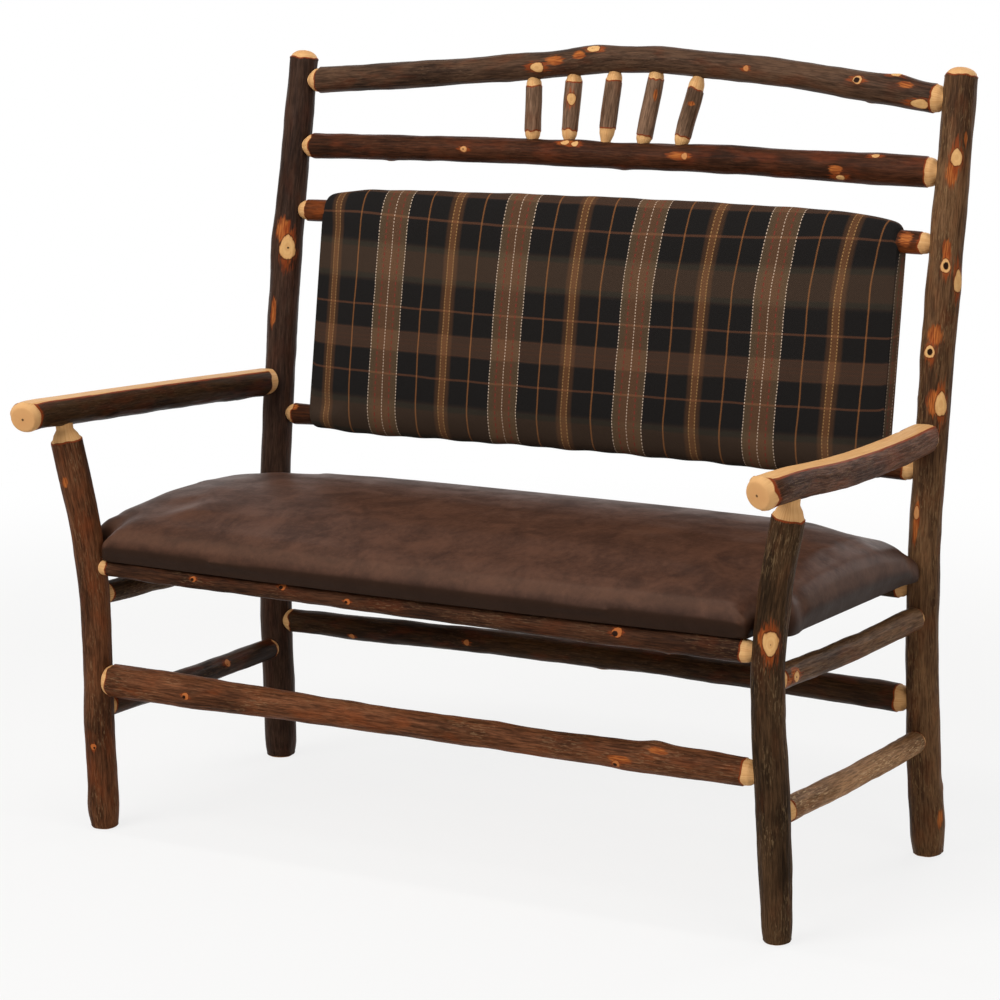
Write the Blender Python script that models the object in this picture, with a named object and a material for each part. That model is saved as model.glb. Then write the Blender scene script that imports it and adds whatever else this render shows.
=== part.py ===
"""Log settee: bark-on poles joined by round tenons, a padded plaid back and a padded seat.

Metres, +Z up, the sitter faces -Y, the origin is the middle of the footprint on the floor.
Left (-X) and right (+X) are as seen from the front.
"""

import math

import bmesh
import bpy
from mathutils import Vector

# Fits
FIT_GAP = 0.0003
MORTISE_END_GAP = 0.0005

# Heights of the poles' axes, stacked from the floor up
STRETCHER_HEIGHT = 0.2265
SIDE_STRETCHER_DROP = 0.055
SEAT_RAIL_RISE = 0.163
SIDE_RAIL_DROP = 0.0385
PAD_RAIL_RISE = 0.1645
PAD_RAIL_GAP = 0.313
SPINDLE_RAIL_RISE = 0.098
CREST_RISE = 0.100
POST_TIP = 0.046
ARM_RISE = 0.051
ARM_CLIMB = 0.0185

# Back posts: they kick back at the foot and lean back above the bend
POST_SPACING = 1.094
POST_DIAMETER = 0.047
POST_BEND_HEIGHT = 0.40
POST_LEAN = 0.099
POST_FOOT_KICK = 0.023
POST_FOOT_SPREAD = 0.009

# Front legs: narrowest at the waist, flared and leaning forward at the top
LEG_INSET = 0.0115
LEG_DIAMETER = 0.0445
LEG_WAIST_HEIGHT = 0.33
LEG_FOOT_SPREAD = 0.0095
LEG_TOP_FLARE = 0.0385
LEG_LEAN = 0.039
UPRIGHT_DEPTH = 0.455

# Arms
ARM_DIAMETER = 0.048
ARM_FLAT_HEIGHT = 0.018
ARM_OVERHANG = 0.095

# Poles between the uprights
CREST_DIAMETER = 0.040
CREST_ARCH = 0.047
SPINDLE_RAIL_DIAMETER = 0.039
PAD_RAIL_DIAMETER = 0.033
PAD_RAIL_BOW = 0.008
SEAT_RAIL_DIAMETER = 0.034
SEAT_RAIL_TIP = 0.023
SIDE_RAIL_DIAMETER = 0.033
STRETCHER_DIAMETER = 0.038
SPINDLE_DIAMETER = 0.025
SPINDLE_PITCH = 0.0605
SPINDLE_FAN = 0.0095
SPINDLE_START = -0.005
SPINDLE_SHIFT = 0.0135

# Round tenons and the peeled shoulders in front of them
RAIL_TENON = 0.025
SIDE_TENON = 0.021
SEAT_TENON = 0.020
PAD_TENON = 0.021
SPINDLE_TENON = 0.015
LEG_TENON = 0.025
ARM_TENON = 0.026
TENON_DEPTH = 0.028
SPINDLE_TENON_DEPTH = 0.014
LEG_TENON_DEPTH = 0.026
PEEL_LENGTH = 0.021
BOW_START = 0.026
SPINDLE_PEEL = 0.019
LEG_PEEL = 0.016
LEG_STRAIGHT = 0.005

# Padded back
PAD_SIDE_GAP = 0.043
PAD_FRONT = 0.027
PAD_REAR = 0.025
PAD_TOP = 0.031
PAD_BOTTOM = 0.022
PAD_CROWN = 0.007
PAD_BOARD = 0.009
GROOVE_DEPTH = 0.006
CLOTH = 0.0015

# Padded seat
SEAT_SIDE_OVERHANG = 0.006
SEAT_FRONT_OVERHANG = 0.013
SEAT_REAR_OVERHANG = 0.018
SEAT_BOARD = 0.012
SEAT_EDGE = 0.040
SEAT_CROWN = 0.047
SEAT_FRONT_BULGE = 0.010
SEAT_TURN_UNDER = 0.055
NOTCH_GAP = 0.009
SCREW_PITCH = 0.360
SCREW_SHANK = 0.0045
SCREW_HEAD = 0.0088
SCREW_LENGTH = 0.034
SCREW_BITE = 0.008

# Facets round a pole
POLE_SIDES = 12
SPINDLE_SIDES = 10
SCREW_SIDES = 10

stretcher_z = STRETCHER_HEIGHT
side_stretcher_z = stretcher_z - SIDE_STRETCHER_DROP
seat_rail_z = stretcher_z + SEAT_RAIL_RISE
side_rail_z = seat_rail_z - SIDE_RAIL_DROP
pad_lower_z = seat_rail_z + PAD_RAIL_RISE
pad_upper_z = pad_lower_z + PAD_RAIL_GAP
spindle_rail_z = pad_upper_z + SPINDLE_RAIL_RISE
crest_z = spindle_rail_z + CREST_RISE
post_height = crest_z + POST_TIP
arm_back_z = pad_lower_z + ARM_RISE

# Widths that follow the back posts
leg_spacing = POST_SPACING - 2 * LEG_INSET
pad_width = POST_SPACING - POST_DIAMETER - 2 * PAD_SIDE_GAP
seat_width = POST_SPACING + 2 * SEAT_SIDE_OVERHANG

# What the trees gave: how far each side's pole lies off the height or line that both share
arm_settle = {-1: -0.001, 1: -0.006}
arm_sag = {-1: 0.001, 1: -0.008}
side_stretcher_lift = {-1: 0.010, 1: 0.0}
post_sway = {-1: 0.003, 1: 0.0}
arm_leg_z = {side: arm_back_z + ARM_CLIMB + arm_settle[side] for side in (-1, 1)}
leg_shoulder_z = {side: arm_leg_z[side] - ARM_DIAMETER / 2 for side in (-1, 1)}
leg_top_z = {side: leg_shoulder_z[side] + LEG_TENON_DEPTH for side in (-1, 1)}

# The footprint is centred: the post's back and the arm's tip lie equally far from the origin
post_y = (UPRIGHT_DEPTH + LEG_LEAN + ARM_OVERHANG - POST_LEAN - POST_DIAMETER / 2) / 2
leg_y = post_y - UPRIGHT_DEPTH


def material(name, colour, roughness, metallic=0.0):
    made = bpy.data.materials.new(name)
    made.use_nodes = True
    surface = made.node_tree.nodes["Principled BSDF"]
    surface.inputs["Base Color"].default_value = (*colour, 1.0)
    surface.inputs["Roughness"].default_value = roughness
    surface.inputs["Metallic"].default_value = metallic
    return made


def cross_axes(along):
    """Two axes square to a direction: sideways and upward (backward for an upright)."""
    reference = Vector((0, 0, 1)) if abs(along.z) < 0.7 else Vector((0, 1, 0))
    sideways = reference.cross(along).normalized()
    return sideways, along.cross(sideways).normalized()


def ring(centre, along, radius, sides, flat=None):
    """Points round a centre; a flat height planes off whatever stands above it."""
    sideways, upward = cross_axes(along)
    points = []
    for k in range(sides):
        angle = 2 * math.pi * (k + 0.5) / sides
        rise = radius * math.sin(angle)
        if flat is not None:
            rise = min(rise, flat)
        points.append(centre + sideways * radius * math.cos(angle) + upward * rise)
    return points


def bridge(bm, low, high):
    count = len(low)
    for k in range(count):
        bm.faces.new((low[k], low[(k + 1) % count], high[(k + 1) % count], high[k]))


def loft_into(bm, rings):
    loops = [[bm.verts.new(point) for point in points] for points in rings]
    for low, high in zip(loops, loops[1:]):
        bridge(bm, low, high)
    bm.faces.new(loops[0])
    bm.faces.new(loops[-1])


def shell_into(bm, outer, inner):
    """A skin between two stacks of rings: open at their first rings, closed at their last."""
    stacks = [[[bm.verts.new(point) for point in points] for points in rings] for rings in (outer, inner)]
    for loops in stacks:
        for low, high in zip(loops, loops[1:]):
            bridge(bm, low, high)
        bm.faces.new(loops[-1])
    bridge(bm, stacks[0][0], stacks[1][0])


def add_object(name, bm, origin, look, smooth_angle=40):
    """Turns a bmesh in the part's frame into an object placed at its own origin."""
    origin = Vector(origin)
    bmesh.ops.translate(bm, verts=bm.verts, vec=-origin)
    bmesh.ops.recalc_face_normals(bm, faces=bm.faces)
    mesh = bpy.data.meshes.new(name)
    bm.to_mesh(mesh)
    bm.free()
    mesh.materials.append(look)
    mesh.shade_smooth()
    mesh.set_sharp_from_angle(angle=math.radians(smooth_angle))
    made = bpy.data.objects.new(name, mesh)
    made.location = origin
    made.parent = root
    bpy.context.scene.collection.objects.link(made)
    return made


def cut(target, stacks):
    """Cuts closed lofts out of an object with one exact Boolean."""
    bm = bmesh.new()
    for rings in stacks:
        loft_into(bm, rings)
    cutter = add_object(target.name + "_cutter", bm, target.location, looks["bark"])
    cutter.hide_render = True
    cutter.display_type = 'WIRE'
    step = target.modifiers.new("mortises", 'BOOLEAN')
    step.operation = 'DIFFERENCE'
    step.solver = 'EXACT'
    step.object = cutter
    return cutter


class Pole:
    """A pole with its centreline and radius; s runs along it from its start."""

    def __init__(self, name, start, end, diameter, bow=None, swells=(), sides=POLE_SIDES, tip=None):
        self.name = name
        self.start = Vector(start)
        self.along = (Vector(end) - self.start).normalized()
        self.length = (Vector(end) - self.start).length
        self.diameter = diameter
        self.start_diameter = tip or diameter
        self.bow = bow
        self.swells = swells
        self.sides = sides

    def centre(self, s):
        """The bow lies between the two shoulders, so that the tenons stay straight."""
        point = self.start + self.along * s
        if self.bow is not None:
            share = (s - BOW_START) / (self.length - 2 * BOW_START)
            point = point + self.bow(min(max(share, 0.0), 1.0))
        return point

    def radius(self, s):
        """Half the diameter, with the swells the tree gave it: place, reach and height of each."""
        share = s / self.length
        radius = (self.start_diameter + (self.diameter - self.start_diameter) * share) / 2
        for place, reach, height in self.swells:
            radius += height * math.exp(-((share - place) / reach) ** 2)
        return radius

    def rings(self, stations, flat=None):
        return [ring(self.centre(s), self.along, r, self.sides, flat) for s, r in stations]

    def body(self, first, last, count):
        places = [first + (last - first) * k / (count - 1) for k in range(count)]
        return [(s, self.radius(s)) for s in places]

    def tenon(self, seat, diameter, depth, peel):
        """Stations of the start's round tenon and peeled shoulder; seat is the neighbour's surface."""
        full = self.radius(seat + peel)
        small = diameter / 2
        return [
            (seat - depth, small),
            (seat + FIT_GAP, small),
            (seat + 0.55 * peel, small + 0.68 * (full - small)),
            (seat + 0.94 * peel, 0.93 * full),
        ]

    def far_tenon(self, seat, diameter, depth, peel):
        full = self.radius(self.length - seat - peel)
        small = diameter / 2
        near = [
            (seat + 0.94 * peel, 0.93 * full),
            (seat + 0.55 * peel, small + 0.68 * (full - small)),
            (seat + FIT_GAP, small),
            (seat - depth, small),
        ]
        return [(self.length - s, r) for s, r in near]

    def mortise(self, seat, diameter, depth, far=False):
        """The cutter that makes room for a tenon: the tenon, wider by the fit gap."""
        small = (diameter / 2 + FIT_GAP) / math.cos(math.pi / self.sides)
        span = (seat - depth - MORTISE_END_GAP, seat + 0.012)
        if far:
            span = (self.length - span[0], self.length - span[1])
        return [ring(self.start + self.along * s, self.along, small, self.sides) for s in span]


class Upright(Pole):
    """A pole that stands on the floor; its centreline is a function of height."""

    def __init__(self, name, path, height, diameter, swells):
        super().__init__(name, (0, 0, 0), (0, 0, height), diameter, None, swells)
        self.path = path

    def centre(self, s):
        return self.path(s)


def post_path(side):
    def at(z):
        below = max(0.0, 1 - z / POST_BEND_HEIGHT)
        above = max(0.0, (z - POST_BEND_HEIGHT) / (post_height - POST_BEND_HEIGHT))
        x = POST_SPACING / 2 + POST_FOOT_SPREAD * below ** 2
        x += post_sway[side] * math.exp(-((z / post_height - 0.67) / 0.16) ** 2)
        y = post_y + POST_FOOT_KICK * below ** 2 + POST_LEAN * above ** 1.3
        return Vector((side * x, y, z))
    return at


def leg_path(side):
    top = leg_shoulder_z[side] - LEG_STRAIGHT

    def at(z):
        low = min(z, top)
        x = leg_spacing / 2
        if low < LEG_WAIST_HEIGHT:
            x += LEG_FOOT_SPREAD * (1 - (low / LEG_WAIST_HEIGHT) ** 2)
        else:
            x += LEG_TOP_FLARE * ((low - LEG_WAIST_HEIGHT) / (top - LEG_WAIST_HEIGHT)) ** 1.65
        y = leg_y - LEG_LEAN * low / top
        return Vector((side * x, y, z))
    return at


post_swells = {
    -1: ((0.0, 0.30, 0.0020), (0.52, 0.10, 0.0006), (1.0, 0.25, -0.0012)),
    1: ((0.05, 0.12, 0.0012), (0.45, 0.12, -0.0012), (0.72, 0.12, 0.0006)),
}
leg_swells = {
    -1: ((0.0, 0.08, 0.0010), (0.45, 0.20, -0.0008), (0.85, 0.15, 0.0008)),
    1: ((0.35, 0.15, 0.0010), (0.0, 0.08, -0.0010), (0.85, 0.12, -0.0010)),
}
side_names = {-1: "left", 1: "right"}


def make_rail(name, ends, z, diameter, bow=None, swells=()):
    """A pole across the settee, from the axis of the left upright to that of the right."""
    return Pole(name, ends[-1].centre(z), ends[1].centre(z), diameter, bow, swells)


def make_side(name, side, z, diameter, bow=None, swells=()):
    """A pole along the side, from the axis of the front leg to that of the back post."""
    return Pole(name, legs[side].centre(z), posts[side].centre(z), diameter, bow, swells)


def crest_bow(t):
    """The crest rises straight to its bend, then rounds off to the right."""
    bend = 0.515
    if t < bend:
        return Vector((0, 0, CREST_ARCH * (1 - (1 - t / bend) ** 0.85)))
    return Vector((0, 0, CREST_ARCH * (1 - ((t - bend) / (1 - bend)) ** 1.6)))


def arc_bow(x, y, z, skew=1.0):
    """A plain bow, largest in the middle, or further along for a skew above 1."""
    def at(t):
        share = t ** skew
        return Vector((x, y, z)) * (4 * share * (1 - share))
    return at


def arm_bow(sag, length):
    """An arm's sag, between the leg under it and the post behind it."""
    def at(t):
        s = BOW_START + t * (length - 2 * BOW_START)
        share = (s - ARM_OVERHANG) / (length - BOW_START - ARM_OVERHANG)
        share = min(max(share, 0.0), 1.0)
        return Vector((0, 0, sag)) * (4 * share * (1 - share))
    return at


def add_upright(pole, top):
    """A post or leg: rounded foot flat on the floor, pole, and the given stations at the top."""
    last = top[0][0]
    foot = [(0.0, 0.84 * pole.radius(0.0)), (0.004, 0.94 * pole.radius(0.0)), (0.012, pole.radius(0.012))]
    stations = foot + pole.body(0.06, last - 0.02, 9) + top
    bm = bmesh.new()
    loft_into(bm, pole.rings(stations))
    return add_object(pole.name, bm, pole.centre(0.0), looks["bark"])


def add_rail(pole, seats, tenon, count):
    """A pole with a round tenon at each end."""
    first = seats[0] + PEEL_LENGTH + 0.001
    last = pole.length - seats[1] - PEEL_LENGTH - 0.001
    stations = pole.tenon(seats[0], tenon, TENON_DEPTH, PEEL_LENGTH)
    stations += pole.body(first, last, count)
    stations += pole.far_tenon(seats[1], tenon, TENON_DEPTH, PEEL_LENGTH)
    bm = bmesh.new()
    loft_into(bm, pole.rings(stations))
    return add_object(pole.name, bm, pole.centre(pole.length / 2), looks["bark"])


def add_arm(pole, seat):
    """An arm: flat on top, domed at the front, tenoned into the post at the back."""
    full = pole.radius(0.04)
    dome = [(0.0, 0.42 * full), (0.003, 0.66 * full), (0.009, 0.86 * full), (0.018, 0.96 * full)]
    stations = dome + pole.body(0.030, pole.length - seat - 0.012, 9)
    stations += pole.far_tenon(seat, ARM_TENON, TENON_DEPTH, 0.010)
    bm = bmesh.new()
    loft_into(bm, pole.rings(stations, ARM_FLAT_HEIGHT))
    return add_object(pole.name, bm, pole.centre(pole.length / 2), looks["bark"])


def spindle_between(name, index):
    """A spindle fanned out between the spindle rail and the crest."""
    low_x = SPINDLE_START + index * SPINDLE_PITCH
    high_x = SPINDLE_START + SPINDLE_SHIFT + index * (SPINDLE_PITCH + SPINDLE_FAN)
    low = spindle_rail.centre(low_x - spindle_rail.start.x)
    high = crest.centre(high_x - crest.start.x)
    return Pole(name, low, high, SPINDLE_DIAMETER, sides=SPINDLE_SIDES)


def add_spindle(pole, seats):
    first = seats[0] + SPINDLE_PEEL + 0.001
    last = pole.length - seats[1] - SPINDLE_PEEL - 0.001
    stations = pole.tenon(seats[0], SPINDLE_TENON, SPINDLE_TENON_DEPTH, SPINDLE_PEEL)
    stations += pole.body(first, last, 3)
    stations += pole.far_tenon(seats[1], SPINDLE_TENON, SPINDLE_TENON_DEPTH, SPINDLE_PEEL)
    bm = bmesh.new()
    loft_into(bm, pole.rings(stations))
    return add_object(pole.name, bm, pole.centre(pole.length / 2), looks["bark"])


def pad_frame(x):
    """At a place across the pad: the lower rail's axis, the way up the pad, the way out of its front,
    and how far up the upper rail's axis lies."""
    low = pad_lower.centre(x - pad_lower.start.x)
    high = pad_upper.centre(x - pad_upper.start.x)
    up = (high - low).normalized()
    return low, up, Vector((-1, 0, 0)).cross(up).normalized(), (high - low).length


def half_section(x, depth, inset, shrink, start):
    """Half the pad's outline from its top to its bottom; depth is signed, front positive."""
    low, up, out, rise = pad_frame(x)
    sign = math.copysign(1.0, depth)
    reach = abs(depth) - inset - shrink
    over = PAD_TOP - inset - shrink
    under = PAD_BOTTOM - inset - 0.5 * shrink
    half = pad_width / 2
    crown = PAD_CROWN * max(0.0, 1 - (x / half) ** 2) if sign > 0 else 0.0
    spots = []
    for k in range(4):
        angle = math.pi / 2 * k / 3
        spots.append((reach * math.sin(angle), rise + over * math.cos(angle)))
    for share in (0.78, 0.5, 0.22):
        spots.append((reach + crown * 4 * share * (1 - share), rise * share))
    for k in range(4):
        angle = math.pi / 2 * (3 - k) / 3
        spots.append((reach * math.sin(angle), -under * math.cos(angle)))
    for end, next_in in ((0, 1), (-1, -2)):
        part = start / spots[next_in][0]
        spots[end] = (start, spots[end][1] + part * (spots[next_in][1] - spots[end][1]))
    return [low + out * (sign * n) + up * t for n, t in spots]


def pad_stations(half):
    """Places across the pad, with how much its edge is drawn in at each."""
    ends = [(half, 0.009), (half - 0.003, 0.004), (half - 0.010, 0.001), (half - 0.03, 0.0)]
    middle = [(0.30, 0.0), (0.15, 0.0), (0.0, 0.0), (-0.15, 0.0), (-0.30, 0.0)]
    scale = half / 0.475
    return ends + [(x * scale, e) for x, e in middle] + [(-x, e) for x, e in reversed(ends)]


def pad_form(inset):
    """The whole pad's rings, drawn in by an inset."""
    rings = []
    for x, shrink in pad_stations(pad_width / 2 - inset):
        front = half_section(x, PAD_FRONT, inset, shrink, 0.0)
        rear = half_section(x, -PAD_REAR, inset, shrink, 0.0)
        rings.append(front + rear[-2:0:-1])
    return rings


def rail_core(pole):
    """The room a pad rail needs inside the padding and cloth."""
    reach = pad_width / 2 + 0.015
    places = [reach * (k / 5 - 1) for k in range(11)]
    rings = []
    for x in places:
        s = x - pole.start.x
        grown = (pole.radius(s) + FIT_GAP) / math.cos(math.pi / pole.sides)
        rings.append(ring(pole.centre(s), pole.along, grown, pole.sides))
    return rings


def pad_padding(name, depth):
    rings = []
    for x, shrink in pad_stations(pad_width / 2 - CLOTH - FIT_GAP):
        rings.append(half_section(x, depth, CLOTH + FIT_GAP, shrink, PAD_BOARD / 2 + FIT_GAP))
    bm = bmesh.new()
    loft_into(bm, rings)
    made = add_object(name, bm, pad_frame(0.0)[0], looks["padding"])
    cut(made, [rail_core(pad_lower), rail_core(pad_upper)])
    return made


def pad_panel(thick, extra, reach):
    """The panel's rings between the grooves, cut to the poles' bow; reach moves its two edges."""
    half = pad_width / 2 - 0.014
    rings = []
    for k in range(9):
        x = half * (k / 4 - 1)
        low, up, out, rise = pad_frame(x)
        low = Vector((x * (1 + extra / half), low.y, low.z))
        foot = pad_lower.diameter / 2 - GROOVE_DEPTH + reach[0]
        head = rise - (pad_upper.diameter / 2 - GROOVE_DEPTH) + reach[1]
        spots = ((thick / 2, foot), (thick / 2, head), (-thick / 2, head), (-thick / 2, foot))
        rings.append([low + out * n + up * t for n, t in spots])
    return rings


def seat_outline(inset, share=1.0):
    """The seat's outline, notched for the four uprights; share shrinks it toward its middle."""
    leg_at = legs[1].centre(seat_top_of_rail)
    post_at = posts[1].centre(seat_top_of_rail)
    leg_r = legs[1].radius(seat_top_of_rail) + NOTCH_GAP
    post_r = posts[1].radius(seat_top_of_rail) + NOTCH_GAP
    front = seat_front.start.y - SEAT_FRONT_OVERHANG + inset
    rear = seat_rear.start.y + SEAT_REAR_OVERHANG - inset
    side = seat_width / 2 - inset
    front_x = leg_at.x - leg_r - inset
    front_y = leg_at.y + leg_r + inset
    rear_x = post_at.x - post_r - inset
    rear_y = post_at.y - post_r - inset
    soft = 0.010
    bulge = SEAT_FRONT_BULGE
    right = []
    for k in range(5):
        x = (front_x - soft) * k / 4
        right.append((x, front - bulge * (1 - (x / front_x) ** 2)))
    right.append((front_x - 0.3 * soft, front + 0.3 * soft))
    right.append((front_x, front + soft))
    right.append((front_x, front_y))
    right.append((side - soft, front_y))
    right.append((side - 0.3 * soft, front_y + 0.3 * soft))
    for k in range(5):
        right.append((side, front_y + soft + (rear_y - front_y - 2 * soft) * k / 4))
    right.append((side - 0.3 * soft, rear_y - 0.3 * soft))
    right.append((side - soft, rear_y))
    right.append((rear_x, rear_y))
    right.append((rear_x, rear - soft))
    right.append((rear_x - 0.3 * soft, rear - 0.3 * soft))
    for k in range(5):
        right.append(((rear_x - soft) * (4 - k) / 4, rear))
    left = [(-x, y) for x, y in reversed(right[1:-1])]
    middle = (front + rear) / 2
    return [(x * share, middle + (y - middle) * share) for x, y in right + left]


def seat_ring(inset, z, share=1.0):
    return [Vector((x, y, z)) for x, y in seat_outline(inset, share)]


def seat_top(x, y):
    """Height of the padded top above the board: full to the sides, falling off to front and back."""
    across = 1 - abs(x / (seat_width * 0.550)) ** 8
    along = 1 - abs(y / (UPRIGHT_DEPTH * 0.60)) ** 2.4
    corner = 0.020 * abs(2 * x / seat_width) ** 4 * (max(y, 0.0) / (UPRIGHT_DEPTH * 0.55)) ** 2
    return SEAT_EDGE + SEAT_CROWN * max(across, 0.0) * max(along, 0.0) - corner


def seat_top_ring(inset, part, drop, share=1.0):
    """A ring at some part of the padded top's height, less a drop."""
    points = []
    for x, y in seat_outline(inset, share):
        points.append(Vector((x, y, seat_board_z + part * seat_top(x, y) - drop)))
    return points


def seat_form(inset, floor):
    """The padded seat as rings from its lower edge to the crown, drawn in by an inset."""
    rings = [
        seat_ring(0.003 + inset, floor),
        seat_ring(inset, max(seat_board_z + 0.006, floor + 0.002)),
        seat_top_ring(inset - 0.007, 0.42, 0.0),
        seat_top_ring(inset, 0.74, 0.5 * inset),
        seat_top_ring(inset + 0.012, 0.93, inset),
        seat_top_ring(inset + 0.032, 1.0, inset),
    ]
    for share in (0.84, 0.62, 0.38, 0.14):
        rings.append(seat_top_ring(inset + 0.032, 1.0, inset, share))
    return rings


def screw_stations(length):
    shank = SCREW_SHANK / 2
    head = SCREW_HEAD / 2
    return [(0.0, head), (0.0008, head), (0.0032, shank), (length - 0.006, shank), (length, 0.0006)]


def screw_hole(length):
    """The screw's room: open below the head, and a little deeper than the point."""
    shank = SCREW_SHANK / 2
    head = SCREW_HEAD / 2
    grow = 1 / math.cos(math.pi / SCREW_SIDES)
    spots = [(-0.024, head), (0.0008, head), (0.0032, shank), (length + 0.0006, shank)]
    return [(s, (r + FIT_GAP) * grow) for s, r in spots]


def upright_rings(x, y, z, stations):
    return [ring(Vector((x, y, z + s)), Vector((0, 0, 1)), r, SCREW_SIDES) for s, r in stations]


for old in list(bpy.data.objects):
    bpy.data.objects.remove(old, do_unlink=True)

looks = {
    "bark": material("hickory bark", (0.052, 0.032, 0.021), 0.62),
    "plaid": material("plaid cloth", (0.045, 0.036, 0.028), 0.92),
    "hide": material("seat hide", (0.050, 0.028, 0.020), 0.48),
    "padding": material("padding", (0.72, 0.66, 0.48), 0.95),
    "plywood": material("plywood", (0.52, 0.36, 0.20), 0.70),
    "steel": material("zinc steel", (0.56, 0.57, 0.58), 0.35, 1.0),
}
root = bpy.data.objects.new("log_settee", None)
bpy.context.scene.collection.objects.link(root)

posts = {}
legs = {}
for side, word in side_names.items():
    posts[side] = Upright(
        "back_post_" + word, post_path(side), post_height, POST_DIAMETER, post_swells[side])
    legs[side] = Upright(
        "front_leg_" + word, leg_path(side), leg_top_z[side], LEG_DIAMETER, leg_swells[side])

crest = make_rail("crest_rail", posts, crest_z, CREST_DIAMETER, crest_bow, ((0.92, 0.08, 0.0015),))
spindle_rail = make_rail(
    "spindle_rail", posts, spindle_rail_z, SPINDLE_RAIL_DIAMETER, arc_bow(0, 0, 0.006),
    ((0.93, 0.16, 0.0030),))
pad_up = posts[1].centre(pad_upper_z) - posts[1].centre(pad_lower_z)
pad_up = Vector((0, pad_up.y, pad_up.z)).normalized() * PAD_RAIL_BOW
pad_bow = arc_bow(pad_up.x, pad_up.y, pad_up.z, 1.3)
pad_upper = make_rail("pad_rail_upper", posts, pad_upper_z, PAD_RAIL_DIAMETER, pad_bow)
pad_lower = make_rail("pad_rail_lower", posts, pad_lower_z, PAD_RAIL_DIAMETER, pad_bow)

# The front seat rail tapers to the left and is set so that its top stays level under the seat
tip_z = seat_rail_z + (SEAT_RAIL_DIAMETER - SEAT_RAIL_TIP) / 2
seat_front = Pole(
    "seat_rail_front", legs[-1].centre(tip_z), legs[1].centre(seat_rail_z), SEAT_RAIL_DIAMETER,
    tip=SEAT_RAIL_TIP)
seat_rear = make_rail("seat_rail_rear", posts, seat_rail_z, SEAT_RAIL_DIAMETER)
stretcher_front = make_rail(
    "stretcher_front", legs, stretcher_z, STRETCHER_DIAMETER, arc_bow(0, -0.004, 0.001),
    ((0.04, 0.24, 0.0055), (0.86, 0.04, 0.0020)))
stretcher_rear = make_rail(
    "stretcher_rear", posts, stretcher_z, STRETCHER_DIAMETER, arc_bow(0, 0.004, 0.006, 1.4),
    ((0.92, 0.14, 0.0020),))

rails = {
    crest: (posts, RAIL_TENON, 15),
    spindle_rail: (posts, RAIL_TENON, 9),
    pad_upper: (posts, PAD_TENON, 9),
    pad_lower: (posts, PAD_TENON, 9),
    seat_front: (legs, SEAT_TENON, 7),
    seat_rear: (posts, SEAT_TENON, 7),
    stretcher_front: (legs, RAIL_TENON, 11),
    stretcher_rear: (posts, RAIL_TENON, 9),
}
rail_heights = {
    crest: crest_z,
    spindle_rail: spindle_rail_z,
    pad_upper: pad_upper_z,
    pad_lower: pad_lower_z,
    seat_front: seat_rail_z,
    seat_rear: seat_rail_z,
    stretcher_front: stretcher_z,
    stretcher_rear: stretcher_z,
}

mortises = {upright: [] for upright in [*posts.values(), *legs.values()]}
made = {}
for rail, (ends, tenon, count) in rails.items():
    seats = [ends[side].radius(rail_heights[rail]) for side in (-1, 1)]
    made[rail] = add_rail(rail, seats, tenon, count)
    mortises[ends[-1]].append(rail.mortise(seats[0], tenon, TENON_DEPTH))
    mortises[ends[1]].append(rail.mortise(seats[1], tenon, TENON_DEPTH, True))

for side, word in side_names.items():
    for name, z, bow in (
            ("side_rail_", side_rail_z, arc_bow(0, 0, -0.004)),
            ("side_stretcher_", side_stretcher_z + side_stretcher_lift[side], arc_bow(0, 0, -0.003))):
        rail = make_side(name + word, side, z, SIDE_RAIL_DIAMETER, bow)
        seats = (legs[side].radius(z), posts[side].radius(z))
        made[rail] = add_rail(rail, seats, SIDE_TENON, 7)
        mortises[legs[side]].append(rail.mortise(seats[0], SIDE_TENON, TENON_DEPTH))
        mortises[posts[side]].append(rail.mortise(seats[1], SIDE_TENON, TENON_DEPTH, True))

for side, word in side_names.items():
    over_leg = legs[side].centre(arm_leg_z[side])
    into_post = posts[side].centre(arm_back_z)
    tip = over_leg + (over_leg - into_post).normalized() * ARM_OVERHANG
    sag = arm_bow(arm_sag[side], (tip - into_post).length)
    arm = Pole("arm_" + word, tip, into_post, ARM_DIAMETER, sag)
    seat = posts[side].radius(arm_back_z)
    arm_made = add_arm(arm, seat)
    mortises[posts[side]].append(arm.mortise(seat, ARM_TENON, TENON_DEPTH, True))
    room = (LEG_TENON / 2 + FIT_GAP) / math.cos(math.pi / POLE_SIDES)
    heights = (leg_shoulder_z[side] - LEG_STRAIGHT, leg_top_z[side] + MORTISE_END_GAP)
    socket = [ring(legs[side].centre(z), Vector((0, 0, 1)), room, POLE_SIDES) for z in heights]
    cut(arm_made, [socket])

    leg = legs[side]
    full = leg.radius(leg_shoulder_z[side] - LEG_PEEL)
    small = LEG_TENON / 2
    shoulder = leg_shoulder_z[side] - LEG_STRAIGHT
    leg_top = [
        (shoulder - LEG_PEEL, full),
        (shoulder - 0.92 * LEG_PEEL, 0.91 * full),
        (shoulder - 0.45 * LEG_PEEL, small + 0.50 * (full - small)),
        (shoulder, small),
        (leg_top_z[side], small),
    ]
    made[leg] = add_upright(leg, leg_top)
    post = posts[side]
    tip_r = post.radius(post_height)
    post_top = [
        (post_height - 0.013, tip_r),
        (post_height - 0.006, 0.93 * tip_r),
        (post_height - 0.002, 0.80 * tip_r),
        (post_height, 0.60 * tip_r),
    ]
    made[post] = add_upright(post, post_top)

for upright, stacks in mortises.items():
    cut(made[upright], stacks)

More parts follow.
